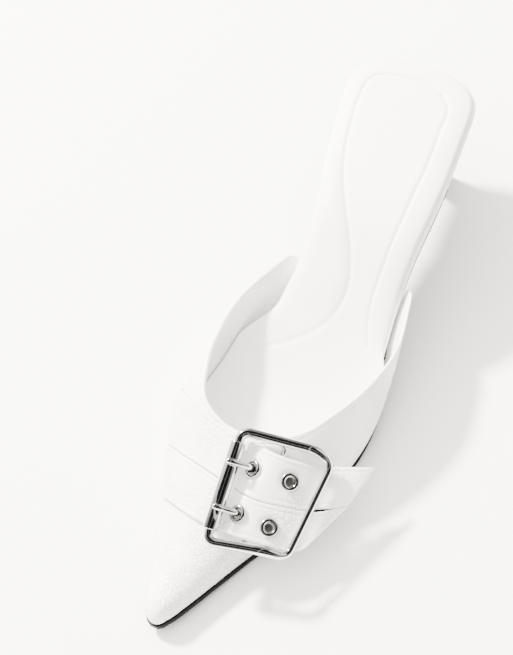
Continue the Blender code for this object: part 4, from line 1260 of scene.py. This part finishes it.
def key_lamp():
    """Soft warm lamp at the upper left of the view, aimed at the shoe."""
    data = bpy.data.lights.new("key", "AREA")
    data.shape = "DISK"
    data.size = KEY_WIDTH
    data.energy = KEY_POWER
    data.color = (1.0, 0.955, 0.90)
    lamp = bpy.data.objects.new("key", data)
    bpy.context.scene.collection.objects.link(lamp)
    lamp.location = KEY_PLACE
    lamp.rotation_mode = "QUATERNION"
    lamp.rotation_quaternion = (Vector(KEY_PLACE) - Vector(KEY_AIM)).to_track_quat("Z", "Y")


def studio():
    """Pale floor, a sky that is brighter on the key lamp's side, and the room that metal mirrors."""
    bpy.ops.mesh.primitive_plane_add(size=FLOOR_SIZE, location=(0.0, 0.0, 0.0))
    floor = bpy.context.object
    floor.name = "floor"
    floor.data.materials.append(FLOOR)
    world = bpy.data.worlds.new("studio")
    bpy.context.scene.world = world
    world.use_nodes = True
    tree = world.node_tree
    sky = tree.nodes["Background"]
    sky.inputs["Color"].default_value = (1.0, 0.955, 0.915, 1.0)
    way = add(tree, "ShaderNodeTexCoord").outputs["Generated"]
    side = facing(tree, way, (-0.62, 0.10, 0.78), -0.45, 0.95)
    tree.links.new(product(tree, mapped(tree, side, 0.0, 1.0, SKY_LOW, 1.0), SKY_STRENGTH),
                   sky.inputs["Strength"])
    room = add(tree, "ShaderNodeBackground", (("Color", room_colour(tree, way)), ("Strength", 1.0)))
    mirror = add(tree, "ShaderNodeLightPath")
    mixed = add(tree, "ShaderNodeMixShader", (("Fac", mirror.outputs["Is Glossy Ray"]),
                                              (1, sky.outputs[0]), (2, room.outputs[0])))
    tree.links.new(mixed.outputs[0], tree.nodes["World Output"].inputs["Surface"])


def facing(tree, way, direction, low, high):
    """How near a direction of the room is to another, from 0 at low to 1 at high."""
    near = add(tree, "ShaderNodeVectorMath", ((0, way), (1, tuple(Vector(direction).normalized()))),
               operation="DOT_PRODUCT")
    return mapped(tree, near.outputs["Value"], low, high, 0.0, 1.0)


def light_strip(tree, way, across, width):
    """Thin bright strip over the whole room, in the plane square to a direction."""
    near = add(tree, "ShaderNodeVectorMath", ((0, way), (1, tuple(Vector(across).normalized()))),
               operation="DOT_PRODUCT")
    off = product(tree, near.outputs["Value"], 0.0, "ABSOLUTE")
    return mapped(tree, off, 0.5 * width, width, 1.0, 0.0)


def room_colour(tree, way):
    """What polished metal mirrors: a bright window wall on the shoe's inside, a small lamp behind it on the
    outside, two thin light strips, and a dim ceiling."""
    window = facing(tree, way, (-0.85, 0.25, 0.50), 0.70, 0.97)
    lamp = facing(tree, way, (0.62, 0.62, 0.48), 0.90, 0.96)
    dim = facing(tree, way, (0.26, -0.34, 0.90), 0.50, 0.80)
    colour = blended(tree, dim, (0.52, 0.50, 0.47), (0.012, 0.012, 0.014))
    colour = blended(tree, product(tree, window, lamp, "MAXIMUM"), colour, (2.4, 2.3, 2.15))
    colour = blended(tree, light_strip(tree, way, (0.10, 0.86, 0.50), 0.028), colour, (1.5, 1.45, 1.4))
    return blended(tree, light_strip(tree, way, (0.92, 0.10, -0.22), 0.024), colour, (0.9, 0.85, 0.8))


CELLS = embossed_cells()
WEAR = soft_wear()
LEATHER = white_leather()
BOARD = board_leather()
SOCK = sock_leather()
HEEL_BLACK = heel_black()
SOLE_INK_AND_SLIT_SHADE = sole_ink_and_slit_shade()
RUBBER = black_rubber()
CHROME = chrome_plate("polished_chrome", 0.04, 0.10, 0.66)
# Dull chrome of the outer eyelets' closed backs; its darker colour is painted shade inside their holes
DULL_CHROME_AND_HOLE_SHADE = chrome_plate("dull_chrome", 0.38, 0.5, 0.42)
FLOOR = pale_floor()
camera()
studio()
key_lamp()
sole()
rand()
sock()
dressed_upper()
dressed_heel()
dressed_band("strap_band_rear", 0, "strap_rear")
dressed_band("strap_band_front", 1, "strap_front")
slit_shade_strip()
dressed_buckle()
